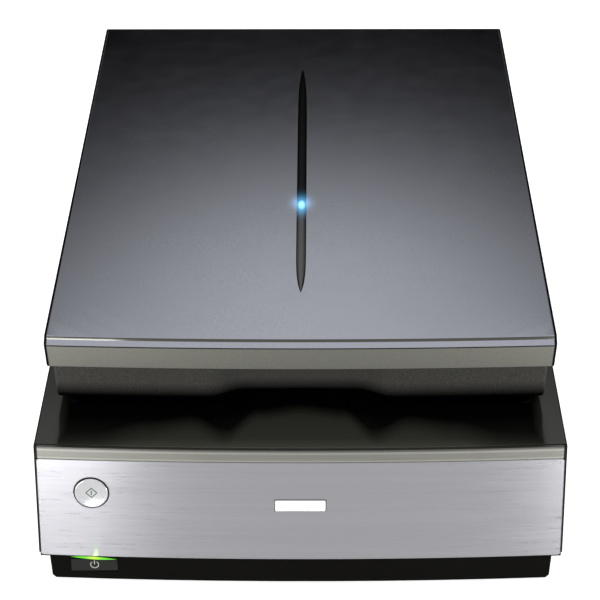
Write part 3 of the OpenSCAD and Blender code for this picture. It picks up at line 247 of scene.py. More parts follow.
def front_point(x, z, inset=0.0):
    """Point of the leaning, bulging front face at width x and height z, set in by inset."""
    back = BOW_RADIUS - math.sqrt((BOW_RADIUS - inset) ** 2 - x**2)
    up = (z - PANEL_FOOT_Z + back * math.sin(LEAN)) / math.cos(LEAN)
    return Vector((x, FRONT_Y + back * math.cos(LEAN) + up * math.sin(LEAN), z))


def on_panel(x, z):
    """Matrix that puts the origin on the front panel, with +Z pointing out of it and +Y up."""
    turn = Matrix.Rotation(-LEAN, 4, "X") @ Matrix.Rotation(math.asin(x / BOW_RADIUS), 4, "Z")
    return Matrix.Translation(front_point(x, z)) @ turn @ Matrix.Rotation(math.pi / 2, 4, "X")


# ---------- Material helpers ----------


def calc(tree, kind, a, b=0.0):
    """Result of a math node; a and b are numbers or sockets."""
    node = tree.nodes.new("ShaderNodeMath")
    node.operation = kind
    for socket, value in zip(node.inputs, (a, b)):
        if isinstance(value, (int, float)):
            socket.default_value = value
        else:
            tree.links.new(value, socket)
    return node.outputs["Value"]


def ramp(tree, factor, stops, blend="LINEAR"):
    """Colour ramp of greys; stops are pairs of place and value."""
    node = tree.nodes.new("ShaderNodeValToRGB")
    node.color_ramp.interpolation = blend
    points = node.color_ramp.elements
    while len(points) < len(stops):
        points.new(0.5)
    for point, (place, value) in zip(points, stops):
        point.position = place
        point.color = (value, value, value, 1.0)
    tree.links.new(factor, node.inputs["Fac"])
    return node.outputs["Color"]


class Nodes:
    """Short names for building a node material."""

    def __init__(self, name):
        self.material = bpy.data.materials.new(name)
        self.material.use_nodes = True
        self.tree = self.material.node_tree
        self.shader = self.tree.nodes["Principled BSDF"]
        self.place = self.add("ShaderNodeTexCoord").outputs["Object"]
        self.axes = None

    def add(self, kind, **settings):
        node = self.tree.nodes.new(kind)
        for key, value in settings.items():
            setattr(node, key, value)
        return node

    def link(self, source, target):
        self.tree.links.new(source, target)

    def axis(self, name):
        """One object coordinate."""
        if self.axes is None:
            self.axes = self.add("ShaderNodeSeparateXYZ")
            self.link(self.place, self.axes.inputs[0])
        return self.axes.outputs[name]

    def scaled(self, scale):
        """Object coordinates stretched by a scale per axis."""
        mapping = self.add("ShaderNodeMapping")
        self.link(self.place, mapping.inputs["Vector"])
        mapping.inputs["Scale"].default_value = scale
        return mapping.outputs["Vector"]

    def noise(self, scale, detail=2.0, rough=0.5):
        """Noise over object coordinates; scale is one number or three."""
        per_axis = scale if isinstance(scale, tuple) else (scale, scale, scale)
        node = self.add("ShaderNodeTexNoise")
        self.link(self.scaled(per_axis), node.inputs["Vector"])
        node.inputs["Scale"].default_value = 1.0
        node.inputs["Detail"].default_value = detail
        node.inputs["Roughness"].default_value = rough
        return node.outputs["Fac"]

    def remap(self, value, low_in, high_in, low_out, high_out):
        node = self.add("ShaderNodeMapRange")
        self.link(value, node.inputs["Value"])
        keys = ("From Min", "From Max", "To Min", "To Max")
        for key, number in zip(keys, (low_in, high_in, low_out, high_out)):
            node.inputs[key].default_value = number
        return node.outputs["Result"]

    def blend(self, factor, a, b):
        """Colour between a and b; each is a colour or a socket."""
        node = self.add("ShaderNodeMix", data_type="RGBA")
        self.link(factor, node.inputs["Factor"])
        for key, value in (("A", a), ("B", b)):
            socket = next(s for s in node.inputs if s.name == key and s.type == "RGBA")
            if isinstance(value, tuple):
                socket.default_value = (*value, 1.0)
            else:
                self.link(value, socket)
        return next(s for s in node.outputs if s.type == "RGBA")

    def math(self, kind, a, b=0.0):
        return calc(self.tree, kind, a, b)

    def times(self, a, b):
        return self.math("MULTIPLY", a, b)

    def bump(self, height, distance):
        node = self.add("ShaderNodeBump")
        self.link(height, node.inputs["Height"])
        node.inputs["Distance"].default_value = distance
        return node.outputs["Normal"]

    def worn_edge(self, radius):
        """Near 1 on edges and near 0 on flat faces."""
        bevel = self.add("ShaderNodeBevel", samples=4)
        bevel.inputs["Radius"].default_value = radius
        geometry = self.add("ShaderNodeNewGeometry")
        dot = self.add("ShaderNodeVectorMath", operation="DOT_PRODUCT")
        self.link(bevel.outputs["Normal"], dot.inputs[0])
        self.link(geometry.outputs["Normal"], dot.inputs[1])
        return self.remap(dot.outputs["Value"], 0.98, 0.8, 0.0, 1.0)

    def halo(self, centre, spread):
        """Round glow, 1 at its centre and fading along each axis by its spread."""
        shift = self.add("ShaderNodeVectorMath", operation="SUBTRACT")
        self.link(self.place, shift.inputs[0])
        shift.inputs[1].default_value = centre
        stretch = self.add("ShaderNodeVectorMath", operation="MULTIPLY")
        self.link(shift.outputs["Vector"], stretch.inputs[0])
        stretch.inputs[1].default_value = tuple(1 / s for s in spread)
        length = self.add("ShaderNodeVectorMath", operation="LENGTH")
        self.link(stretch.outputs["Vector"], length.inputs[0])
        squared = self.times(length.outputs["Value"], length.outputs["Value"])
        return self.math("POWER", 0.37, squared)

    def feed(self, name, source):
        """Links a value to one of the shader's sockets."""
        self.link(source, self.shader.inputs[name])

    def fixed(self, **values):
        """Sets plain numbers on the shader's own sockets."""
        for key, value in values.items():
            self.shader.inputs[key.replace("_", " ")].default_value = value


def shade(colour, factor):
    return tuple(min(1.0, c * factor) for c in colour)


def moulded(name, colour, rough=0.5, grain=1500.0, grain_depth=0.03 * MM, specular=0.5, wear=1.25):
    """Moulded or painted surface: fine grain, cloudy roughness, slight tone drift and lighter edges."""
    m = Nodes(name)
    cloud = m.noise(22.0, 3.0)
    swing = 0.07 if max(colour) < 0.4 else 0.012
    drift = m.blend(m.remap(cloud, 0.3, 0.7, 0.0, 1.0), shade(colour, 1 - swing), shade(colour, 1 + swing))
    worn = m.blend(m.times(m.worn_edge(0.5 * MM), m.noise(160.0, 3.0)), drift, shade(colour, wear))
    m.feed("Base Color", worn)
    patches = m.noise(60.0, 4.0)
    m.feed("Roughness", m.remap(patches, 0.3, 0.7, rough - 0.05, rough + 0.05))
    fine = m.noise(grain, 2.0, 0.6)
    m.feed("Normal", m.bump(fine, grain_depth))
    m.fixed(Specular_IOR_Level=specular)
    return m.material


# Where the deck's painted light begins, ahead of the painted shade and dark reflection of the lid: share of the
# half width against distance from the start line
DECK_PAINTED_SHADE_RIM = ((0.0, 0.12), (0.17, 0.24), (0.29, 0.80), (0.43, 0.42), (0.6, 0.56), (0.8, 0.84), (0.95, 0.88))
DECK_PAINTED_SHADE_Y = SKIRT_CORNER_Y + 4.5 * MM


def deck_with_painted_shade(name, black, satin, rough):
    """Polished black plastic with painted shade and reflection: black near the lid, painted satin-grey light ahead
    of it whose rim swings round the finger scoop, painted light beside the lower case, a painted highlight near
    the front edge, and near-black sides.
    """
    m = Nodes(name)
    width = m.math("ABSOLUTE", m.axis("X"))
    # Painted shade and reflection of the lid: their rim follows the lower case and its finger scoop
    wave = ramp(m.tree, m.math("DIVIDE", width, LID_HALF), DECK_PAINTED_SHADE_RIM, "EASE")
    start = m.math("SUBTRACT", DECK_PAINTED_SHADE_Y, m.times(wave, 40 * MM))
    ahead = m.math("SUBTRACT", start, m.axis("Y"))
    slow = m.math("ADD", m.times(width, 0.13), 12 * MM)
    zone = m.math("DIVIDE", m.math("ADD", ahead, 2 * MM), slow)
    zone = m.math("MINIMUM", m.math("MAXIMUM", zone, 0.0), 1.0)
    # Painted light beside the lid's lower case, outside its painted shade
    aside = m.remap(width, SKIRT_HALF - 8 * MM, SKIRT_HALF, 0.0, 1.0)
    edge = m.remap(m.axis("Y"), FRONT_Y + 10 * MM, FRONT_Y + 22 * MM, 1.0, 0.0)
    cloud = m.remap(m.noise(14.0, 3.0), 0.3, 0.7, 0.94, 1.06)
    painted_light_share = m.times(m.math("MAXIMUM", zone, m.times(aside, 0.75)), cloud)
    # Painted light and shade: black where the lid's shadow and reflection fall, the satin colour as painted light
    # ahead of it
    lit = m.blend(painted_light_share, black, satin)
    # Painted highlight along the front edge
    rim = m.blend(m.times(edge, m.times(zone, zone)), lit, shade(satin, 1.9))
    # Near-black side walls; on the top this also paints shade along the side edges
    side = m.remap(width, BASE_HALF - 1.0 * MM, BASE_HALF - 0.4 * MM, 0.0, 1.0)
    m.feed("Base Color", m.blend(side, rim, (0.002, 0.002, 0.002)))
    m.feed("Roughness", m.remap(m.noise(45.0, 4.0), 0.3, 0.7, rough - 0.015, rough + 0.015))
    m.feed("Specular IOR Level", m.remap(side, 0.0, 1.0, 0.22, 0.02))
    m.feed("Normal", m.bump(m.noise(900.0), 0.001 * MM))
    return m.material


def skirt_painted_shade(name, colour):
    """Eroded black plastic with painted shade that darkens it towards its foot."""
    m = Nodes(name)
    grain = m.noise(1000.0, 3.0, 0.7)
    speck = m.blend(m.remap(grain, 0.35, 0.65, 0.0, 1.0), shade(colour, 0.55), shade(colour, 1.45))
    # Painted shade: colour and specular fade to black towards the foot
    depth = m.remap(m.axis("Z"), SKIRT_FOOT_Z + 2 * MM, SKIRT_FOOT_Z + 11 * MM, 0.0, 1.0)
    m.feed("Base Color", m.blend(depth, (0.0, 0.0, 0.0), speck))
    m.feed("Roughness", m.remap(grain, 0.3, 0.7, 0.55, 0.7))
    m.feed("Normal", m.bump(grain, 0.12 * MM))
    m.feed("Specular IOR Level", m.remap(depth, 0.0, 1.0, 0.03, 0.35))
    return m.material


def brushed(name, colour, rough=0.35, along="x", metal=1.0, streaks=700.0, depth=0.012 * MM, stretch=0.0):
    """Metal brushed along one axis; stretch pulls the reflections of an upright face up and down."""
    m = Nodes(name)
    fine = tuple(3.0 if axis == along else streaks for axis in "xyz")
    coarse = tuple(1.2 if axis == along else streaks * 0.22 for axis in "xyz")
    lines = m.noise(fine, 3.0, 0.65)
    bands = m.noise(coarse, 2.0)
    tone = m.blend(m.remap(lines, 0.3, 0.7, 0.0, 1.0), shade(colour, 0.93), shade(colour, 1.05))
    toned = m.blend(m.remap(bands, 0.35, 0.65, 0.0, 0.35), tone, shade(colour, 1.1))
    m.feed("Base Color", toned)
    m.feed("Roughness", m.remap(lines, 0.25, 0.75, rough - 0.06, rough + 0.08))
    m.feed("Normal", m.bump(lines, depth))
    m.fixed(Metallic=metal)
    if stretch:
        m.fixed(Anisotropic=stretch)
        way = m.add("ShaderNodeCombineXYZ")
        way.inputs["Z"].default_value = 1.0
        m.feed("Tangent", way.outputs["Vector"])
    return m.material


def metal_flake(name, colour, metal, rough):
    """Satin metallic paint with fine flakes."""
    m = Nodes(name)
    flakes = m.noise(2600.0, 1.0)
    cloud = m.noise(9.0, 3.0)
    tone = m.blend(m.remap(flakes, 0.35, 0.65, 0.0, 1.0), shade(colour, 0.9), shade(colour, 1.1))
    toned = m.blend(m.remap(cloud, 0.3, 0.7, 0.0, 0.25), tone, shade(colour, 0.94))
    m.feed("Base Color", toned)
    m.feed("Roughness", m.remap(m.noise(75.0, 4.0), 0.3, 0.7, rough - 0.025, rough + 0.025))
    m.feed("Normal", m.bump(flakes, 0.004 * MM))
    m.fixed(Metallic=metal)
    return m.material


def trim_metal(name, colour):
    """Satin trim with painted highlight lines along its top and its foot, painted shade just under its top edge
    and painted shade at its ends.
    """
    m = Nodes(name)
    z, width = m.axis("Z"), m.math("ABSOLUTE", m.axis("X"))
    grain = m.remap(m.noise((4.0, 1500.0, 1500.0), 2.0), 0.35, 0.65, 0.0, 1.0)
    tone = m.blend(grain, shade(colour, 0.95), shade(colour, 1.05))
    # Painted highlights: fine bright lines near the top and near the foot
    lines = m.math("MAXIMUM", m.halo((0.0, 0.0, TRIM_TOP_Z - 1.9 * MM), (9.0, 9.0, 0.5 * MM)),
                   m.halo((0.0, 0.0, TRIM_FOOT_Z + 0.9 * MM), (9.0, 9.0, 0.45 * MM)))
    painted_lines = m.blend(lines, tone, shade(colour, 1.45))
    # Painted shade along the top edge and at both ends
    shadow = m.remap(z, TRIM_TOP_Z - 1.3 * MM, TRIM_TOP_Z - 0.7 * MM, 0.0, 0.5)
    end = m.remap(width, PANEL_HALF - 1.1 * MM, PANEL_HALF - 0.6 * MM, 0.0, 1.0)
    shaded = m.blend(m.math("MAXIMUM", shadow, end), painted_lines, shade(colour, 0.06))
    m.feed("Base Color", shaded)
    m.feed("Roughness", m.remap(m.noise(75.0, 4.0), 0.3, 0.7, 0.27, 0.32))
    m.fixed(Metallic=0.9)
    return m.material


def lid_paint(name):
    """Metallic lid paint: an olive band round the edge, painted shade on the step and along the side edges, and a
    painted glow of the light's halo on the top.
    """
    m = Nodes(name)
    top_colour, band_colour, edge_shade_colour = (0.283, 0.294, 0.335), (0.170, 0.170, 0.150), (0.004, 0.004, 0.004)
    flakes = m.noise(1000.0, 3.0, 0.8)
    speck = m.remap(flakes, 0.35, 0.65, 0.0, 1.0)
    cloud = m.remap(m.noise(7.0, 3.0), 0.3, 0.7, 0.0, 1.0)
    flaked = m.blend(speck, shade(top_colour, 0.85), shade(top_colour, 1.11))
    top = m.blend(cloud, flaked, shade(top_colour, 0.97))
    band = m.blend(speck, shade(band_colour, 0.93), shade(band_colour, 1.07))
    # Depth below the sloping top
    rise = m.times(m.math("SUBTRACT", m.axis("Y"), LID_CORNER_Y + LID_CHAMFER), LID_SLOPE)
    depth = m.math("SUBTRACT", m.math("ADD", rise, LID_FRONT_TOP), m.axis("Z"))
    banded = m.blend(m.remap(depth, 3.35 * MM, 3.55 * MM, 0.0, 1.0), top, band)
    # Painted shade on the step just below the top
    riser_shade = m.times(m.remap(depth, 0.15 * MM, 0.3 * MM, 0.0, 1.0),
                   m.remap(depth, 1.75 * MM, 1.9 * MM, 1.0, 0.0))
    banded = m.blend(riser_shade, banded, shade(band_colour, 0.5))
    draft = m.remap(depth, 1.4 * MM, 24 * MM, 0.0, SIDE_DRAFT)
    width = m.math("ADD", m.math("ABSOLUTE", m.axis("X")), draft)
    # Painted shade: near-black, matt and non-metallic where the side edges turn away
    facing = m.add("ShaderNodeSeparateXYZ")
    m.link(m.add("ShaderNodeNewGeometry").outputs["Normal"], facing.inputs[0])
    flank = m.remap(m.math("ABSOLUTE", facing.outputs["X"]), 0.93, 0.985, 1.0, 0.0)
    side = m.times(m.remap(width, LID_HALF - 2.0 * MM, LID_HALF - 1.4 * MM, 0.0, 1.0), flank)
    m.feed("Base Color", m.blend(side, banded, edge_shade_colour))
    m.feed("Metallic", m.remap(side, 0.0, 1.0, 1.0, 0.0))
    m.feed("Specular IOR Level", m.remap(side, 0.0, 1.0, 0.5, 0.0))
    satin = m.remap(m.noise(60.0, 4.0), 0.3, 0.7, 0.085, 0.105)
    m.feed("Roughness", m.math("MAXIMUM", satin, m.remap(depth, 3.35 * MM, 3.55 * MM, 0.0, 0.42)))
    m.feed("Normal", m.bump(flakes, 0.0012 * MM))
    # Painted glow: emission on the paint round the light
    glow = m.halo((0.0, LIGHT_Y, lid_top(LIGHT_Y)), (5.0 * MM, 7.5 * MM, 20 * MM))
    m.fixed(Emission_Color=(0.22, 0.55, 1.0, 1.0))
    m.feed("Emission Strength", m.times(glow, 0.95))
    return m.material


def smoked(name):
    """Glossy smoked plastic of the slit, lit blue around its light."""
    m = Nodes(name)
    haze = m.noise((60.0, 14.0, 60.0), 3.0)
    m.feed("Base Color", m.blend(haze, (0.0012, 0.0012, 0.0012), (0.0025, 0.0025, 0.002)))
    m.feed("Roughness", m.remap(haze, 0.3, 0.7, 0.10, 0.14))
    front = m.remap(m.axis("Y"), LIGHT_Y - 4 * MM, LIGHT_Y + 12 * MM, 0.6, 0.04)
    m.feed("Specular IOR Level", front)
    # Painted glow: emission on the smoked plastic round the light
    wide = m.halo((0.0, LIGHT_Y, lid_top(LIGHT_Y)), (6 * MM, 10 * MM, 20 * MM))
    m.fixed(Emission_Color=(0.12, 0.54, 1.0, 1.0))
    m.feed("Emission Strength", m.times(wide, 0.95))
    return m.material


def glass(name, colour, rough=0.02, weight=1.0):
    """Clear or tinted glass with faint smears."""
    m = Nodes(name)
    smears = m.noise((18.0, 60.0, 18.0), 4.0)
    m.feed("Base Color", m.blend(m.remap(smears, 0.3, 0.7, 0.0, 1.0), colour, shade(colour, 0.97)))
    m.feed("Roughness", m.remap(smears, 0.45, 0.8, rough, rough + 0.06))
    m.fixed(Transmission_Weight=weight, IOR=1.5)
    return m.material


def glowing(name, colour, core, centre, spread, strength):
    """Light guide that glows brightest at its centre."""
    m = Nodes(name)
    fade = m.halo(centre, spread)
    speckle = m.remap(m.noise(900.0, 2.0), 0.3, 0.7, 0.97, 1.03)
    m.feed("Emission Color", m.blend(fade, colour, core))
    m.feed("Emission Strength", m.times(m.times(fade, strength), speckle))
    m.feed("Base Color", m.blend(fade, shade(colour, 0.05), colour))
    m.fixed(Roughness=0.3)
    return m.material


def light_guide(name):
    """Clear strip in which a light spreads sideways as a thin spindle."""
    m = Nodes(name)
    off = m.math("SUBTRACT", m.axis("X"), BAR_X)
    along = m.math("DIVIDE", off, BAR_HALF)
    drop = m.math("SUBTRACT", m.math("SUBTRACT", m.axis("Z"), BAR_Z), m.times(off, BAR_TILT))
    across = m.math("DIVIDE", m.math("ABSOLUTE", drop), BAR_RISE)
    taper = m.math("MAXIMUM", m.math("SUBTRACT", 1.0, m.times(along, along)), 0.0)
    inside = m.remap(m.math("SUBTRACT", taper, across), -0.08, 0.25, 0.0, 1.0)
    core = m.halo((BAR_X, PLINTH_FRONT_Y, BAR_Z), (0.26 * BAR_HALF, 1.0, 1.0))
    speck = m.remap(m.noise(900.0, 2.0), 0.3, 0.7, 0.96, 1.04)
    m.feed("Emission Color", m.blend(core, (0.14, 0.72, 0.04), (0.62, 1.0, 0.10)))
    m.feed("Emission Strength", m.times(m.times(inside, 1.15), speck))
    m.fixed(Base_Color=(0.004, 0.006, 0.003, 1.0), Roughness=0.4, Specular_IOR_Level=0.1)
    return m.material


def circuit_board(name):
    """Green solder resist with copper tracks and pads."""
    m = Nodes(name)
    cells = m.add("ShaderNodeTexVoronoi", distance="MANHATTAN", feature="DISTANCE_TO_EDGE")
    m.link(m.scaled((260.0, 260.0, 260.0)), cells.inputs["Vector"])
    track = m.remap(cells.outputs["Distance"], 0.03, 0.06, 1.0, 0.0)
    resist = m.blend(m.noise(90.0, 3.0), (0.012, 0.09, 0.035), (0.02, 0.13, 0.05))
    m.feed("Base Color", m.blend(track, resist, (0.05, 0.2, 0.08)))
    m.feed("Normal", m.bump(track, 0.03 * MM))
    m.feed("Roughness", m.remap(m.noise(140.0), 0.3, 0.7, 0.25, 0.4))
    return m.material


BLACK = (0.012, 0.012, 0.0115)
MATERIALS = {"glass": glass("platen_glass", (0.93, 0.97, 0.96))}


def add_material(make, name, *colours, **settings):
    """Keeps a material under the name of its slot."""
    MATERIALS[name] = make(name, *colours, **settings)


add_material(moulded, "black_plastic", BLACK, rough=0.55, grain=900.0, grain_depth=0.05 * MM, specular=0.3)
# The deck's black, then the satin-grey colour of its painted light ahead of the lid
add_material(deck_with_painted_shade, "deck_plastic", (0.0015, 0.0015, 0.0013), (0.032, 0.0325, 0.026), 0.1)
add_material(moulded, "trim_plastic", (0.115, 0.115, 0.103), rough=0.42)
add_material(brushed, "brushed_panel", (0.385, 0.383, 0.405), rough=0.3, stretch=0.8)
add_material(brushed, "bright_metal", (0.62, 0.62, 0.64), rough=0.28, streaks=1200.0)
add_material(moulded, "white_film", (0.78, 0.78, 0.77), rough=0.4, wear=1.0)
add_material(moulded, "rubber", (0.014, 0.014, 0.014), rough=0.8, grain=1200.0)
add_material(brushed, "steel", (0.56, 0.57, 0.59), rough=0.3, along="y")
add_material(brushed, "motor_can", (0.42, 0.43, 0.45), rough=0.35, along="z")
add_material(moulded, "belt_rubber", (0.02, 0.02, 0.02), rough=0.7)
add_material(circuit_board, "circuit_board")
add_material(moulded, "cable_film", (0.62, 0.60, 0.52), rough=0.35, wear=1.0)
add_material(metal_flake, "silver_button", (0.64, 0.64, 0.66), 0.95, 0.16)
add_material(moulded, "grey_button", (0.011, 0.011, 0.0105), rough=0.5, specular=0.2)
add_material(brushed, "brass", (0.70, 0.47, 0.18), rough=0.3)
add_material(moulded, "natural_plastic", (0.68, 0.66, 0.60), rough=0.45, wear=1.05)
add_material(moulded, "lamp_glass", (0.82, 0.83, 0.80), rough=0.2, wear=1.0)
add_material(brushed, "mirror", (0.85, 0.87, 0.88), rough=0.08, depth=0.001 * MM)
add_material(moulded, "lens_body", (0.012, 0.012, 0.013), rough=0.35)
add_material(lid_paint, "lid_paint")
add_material(smoked, "smoked_window")
add_material(moulded, "diffuser", (0.78, 0.80, 0.79), rough=0.45, wear=1.0)
add_material(moulded, "white_plastic", (0.66, 0.66, 0.65), rough=0.5, wear=1.05)
add_material(moulded, "mat_plastic", (0.72, 0.72, 0.70), rough=0.55, wear=1.03)
add_material(light_guide, "green_light")
add_material(glowing, "blue_light", (0.10, 0.52, 1.0), (0.44, 0.88, 1.0), (0.0, LIGHT_Y, lid_top(LIGHT_Y)),
             (3.2 * MM, 7.5 * MM, 20 * MM), 1.08)
# The plinth's black plastic with painted shade: darker and less shiny than the other black plastic, as if in the
# shade of the overhanging panel
SHADED_PLINTH = moulded("shaded_plinth_plastic", (0.0035, 0.0033, 0.0025), rough=0.5, grain=900.0, specular=0.03)
SKIRT = skirt_painted_shade("skirt_painted_shade", (0.031, 0.030, 0.0255))
TRIM = trim_metal("trim_metal", (0.225, 0.223, 0.202))
PLATE = moulded("plate_silver", (0.86, 0.86, 0.88), rough=0.3, grain=2200.0, grain_depth=0.004 * MM, wear=1.1)
GREEN_MARK = moulded("green_mark", (0.02, 0.10, 0.035), rough=0.5, wear=1.0)
GREY_MARK = moulded("grey_mark", (0.33, 0.33, 0.32), rough=0.5, wear=1.0)
NODE_MATERIALS = {"base_lower_case": SHADED_PLINTH}


# ---------- CAD pieces ----------

def dress_cad_nodes():
    """Gives every CAD node its slot's material, small rounded edges and clean shading."""
    slot_of = {part["node"]: part["material_slot"] for part in frame["record"]["subparts"]}
    for name, obj in nodes.items():
        obj.data.materials.clear()
        obj.data.materials.append(NODE_MATERIALS.get(name, MATERIALS[slot_of[name]]))
        weld = obj.modifiers.new("weld", "WELD")
        weld.merge_threshold = 0.003 * MM
        flat = obj.modifiers.new("flat", "DECIMATE")
        flat.decimate_type = "DISSOLVE"
        flat.angle_limit = math.radians(0.2)
        round_edges(obj, 0.35 * MM)
        weighted_normals(obj)


# ---------- Front ----------

def front_sheet(name, slot, material, node, foot, top, corner, bevel, hole=None):
    """Bowed, leaning sheet between two heights, with round corners and an optional round hole."""
    cell = 13 * MM
    steps = 8
    rounding = [corner, corner * 0.3, 0.0]
    ends = [PANEL_HALF - r for r in rounding]
    if hole:
        x0, x1 = hole[0] - cell, hole[0] + cell
        z_steps = spread(foot, hole[1] - cell, 4) + spread(hole[1] - cell, hole[1] + cell, steps)[1:] + [top]
        middle_x = spread(-ends[0], x0, 3)[1:] + spread(x0, x1, steps)[1:] + spread(x1, ends[0], 34)[1:-1]
    else:
        z_steps = [foot, top]
        middle_x = spread(-ends[0], ends[0], 48)[1:-1]
    columns = [-x for x in reversed(ends)] + middle_x + ends
    shape = Shape()
    sides = []
    for inset in (0.0, SKIN_THICK):
        grid = []
        for x in columns:
            away = PANEL_HALF - abs(x)
            trims = zip(rounding, (0.0, corner * 0.3, corner))
            trim = next((t for r, t in trims if abs(away - r) < 1e-6), 0.0)
            heights = [z_steps[0] + trim] + z_steps[1:-1] + [z_steps[-1] - trim]
            grid.append([shape.bm.verts.new(front_point(x, z, inset)) for z in heights])
        rim = []
        for i in range(len(columns) - 1):
            for k in range(len(z_steps) - 1):
                inside = hole and columns[i] >= x0 - 1e-6 and columns[i + 1] <= x1 + 1e-6
                if inside and z_steps[k] >= hole[1] - cell - 1e-6 and z_steps[k + 1] <= hole[1] + cell + 1e-6:
                    continue
                shape.cap((grid[i][k], grid[i + 1][k], grid[i + 1][k + 1], grid[i][k + 1]))
        if hole:
            ia, ka = (min(range(len(v)), key=lambda n: abs(v[n] - at)) for v, at in (
                (columns, x0), (z_steps, hole[1] - cell)))
            path = [(ia + n, ka) for n in range(steps)] + [(ia + steps, ka + n) for n in range(steps)]
            path += [(ia + steps - n, ka + steps) for n in range(steps)]
            path += [(ia, ka + steps - n) for n in range(steps)]
            square = [grid[i][k] for i, k in path]
            rings = [square]
            for share in (0.5, 1.0):
                ring = []
                for i, k in path:
                    dx, dz = columns[i] - hole[0], z_steps[k] - hole[1]
                    reach = math.hypot(dx, dz)
                    length = reach + (hole[2] - reach) * share
                    squash = 1 + (START_SQUASH - 1) * share
                    x, z = hole[0] + dx / reach * length, hole[1] + dz / reach * length * squash
                    ring.append(shape.bm.verts.new(front_point(x, z, inset)))
                rings.append(ring)
            shape.skin(rings)
            rim = rings[-1]
        edge = [column[0] for column in grid] + grid[-1][1:]
        edge += [column[-1] for column in reversed(grid[:-1])] + grid[0][-2:0:-1]
        sides.append((edge, rim))
    shape.skin([sides[0][0], sides[1][0]])
    if hole:
        shape.skin([sides[0][1], sides[1][1]])
    return shape.finish(name, "base", slot, (node,), material, bevel)


def flat_mark(shape, matrix, outline, level, depth, hole=None):
    """Thin raised mark; level gives the surface height at a point of its plane."""
    rings = []
    for points in (outline, hole) if hole else (outline,):
        top = shape.loop([matrix @ Vector((x, y, level(x, y) + 0.05 * MM)) for x, y in points])
        foot = shape.loop([matrix @ Vector((x, y, level(x, y) - depth)) for x, y in points])
        shape.skin([top, foot])
        rings.append((top, foot))
    if hole:
        shape.skin([rings[0][0], rings[1][0]])
        shape.skin([rings[0][1], rings[1][1]])
    else:
        shape.cap(rings[0][0])
        shape.cap(rings[0][1])


def turned(shape, place, profile, count=96):
    """Surface turned about the place's Z axis from pairs of radius and height."""
    turns = [2 * math.pi * i / count for i in range(count)]
    loops = []
    for r, z in profile:
        loops.append(shape.loop([place @ Vector((r * math.cos(a), r * math.sin(a), z)) for a in turns]))
    shape.skin(loops)
    return loops


def make_start_button():
    """Dished silver button with a soft rim, in a black ring that paints the shade of the gap round it, and its
    green start sign.
    """
    place = on_panel(START_X, START_Z) @ Matrix.Diagonal((1.0, START_SQUASH, 1.0, 1.0))

    def dish(x, y=0.0):
        return DISH_RADIUS + DISH_DEPTH - math.sqrt(DISH_RADIUS**2 - x * x - y * y)

    face = START_RADIUS - 0.6 * MM
    profile = [(r, dish(r)) for r in spread(0.4 * MM, face, 14)]
    profile += [(face + 0.25 * MM, dish(face)), (START_RADIUS - 0.1 * MM, dish(face) - 0.2 * MM)]
    profile += [(START_RADIUS, dish(face) - 0.45 * MM), (START_RADIUS, -5.4 * MM), (3.0 * MM, -6.0 * MM)]
    cap = Shape()
    loops = turned(cap, place, profile)
    cap.cap(loops[0])
    cap.cap(loops[-1])
    cap.finish("start_button_cap", "start_key", "silver_button", ("start_button",))

    # Painted shade: a black ring in the gap round the cap
    inside, outside = START_RADIUS + 0.15 * MM, START_HOLE - 0.03 * MM
    gap_shade_ring = Shape()
    top, foot = 0.02 * MM, -2.5 * MM
    loops = turned(gap_shade_ring, place, [(inside, top), (outside, top), (outside, foot), (inside, foot)])
    gap_shade_ring.skin([loops[-1], loops[0]])
    gap_shade_ring.finish("start_gap_shade_ring", "base", "black_plastic")

    outer, inner, bar = 3.6 * MM, 2.8 * MM, 0.3 * MM
    sign = Shape()
    flat_mark(sign, place, [(outer, 0), (0, outer), (-outer, 0), (0, -outer)], dish, 0.1 * MM,
              [(inner, 0), (0, inner), (-inner, 0), (0, -inner)])
    tall = 1.5 * MM
    flat_mark(sign, place, [(-bar, -tall), (bar, -tall), (bar, tall), (-bar, tall)], dish, 0.1 * MM)
    sign.finish("start_sign", "start_key", "silver_button", material=GREEN_MARK)


def make_power_sign():
    """Ring with a gap and a bar, on the face of the power button."""
    face = Matrix.Translation((POWER_X, POWER_FACE_Y, POWER_Z)) @ Matrix.Rotation(math.pi / 2, 4, "X")
    radius, stroke, gap = 2.35 * MM, 0.62 * MM, math.radians(34)
    turns = spread(math.pi / 2 + gap, 5 * math.pi / 2 - gap, 32)
    half = stroke / 2
    outline = [((radius + half) * math.cos(a), (radius + half) * math.sin(a)) for a in turns]
    outline += [((radius - half) * math.cos(a), (radius - half) * math.sin(a)) for a in reversed(turns)]
    shape = Shape()
    count = len(turns)
    top = shape.loop([face @ Vector((x, y, 0.05 * MM)) for x, y in outline])
    foot = shape.loop([face @ Vector((x, y, -0.1 * MM)) for x, y in outline])
    shape.skin([top, foot])
    for i in range(count - 1):
        for ring in (top, foot):
            shape.cap((ring[i], ring[i + 1], ring[2 * count - 2 - i], ring[2 * count - 1 - i]))
    bar = [(-half, 0.2 * MM), (half, 0.2 * MM), (half, 3.1 * MM), (-half, 3.1 * MM)]
    flat_mark(shape, face, bar, lambda x, y: 0.0, 0.1 * MM)
    shape.finish("power_sign", "power_key", "grey_button", material=GREY_MARK)


def make_light_strip():
    """Thin light guide that follows the plinth's bow over the power button."""
    shape = Shape()
    rows = []
    for x in spread(BAR_X - BAR_HALF, BAR_X + BAR_HALF, 12):
        y = PLINTH_FRONT_Y + bow(x, BOW_RADIUS)
        z = BAR_Z + (x - BAR_X) * BAR_TILT
        rows.append(shape.loop([(x, y - 0.2 * MM, z - BAR_RISE), (x, y + 0.3 * MM, z - BAR_RISE),
                                (x, y + 0.3 * MM, z + BAR_RISE), (x, y - 0.2 * MM, z + BAR_RISE)]))
    shape.skin(rows)
    shape.cap(rows[0])
    shape.cap(rows[-1])
    shape.finish("light_strip", "base", "green_light", ("status_light_bar",))


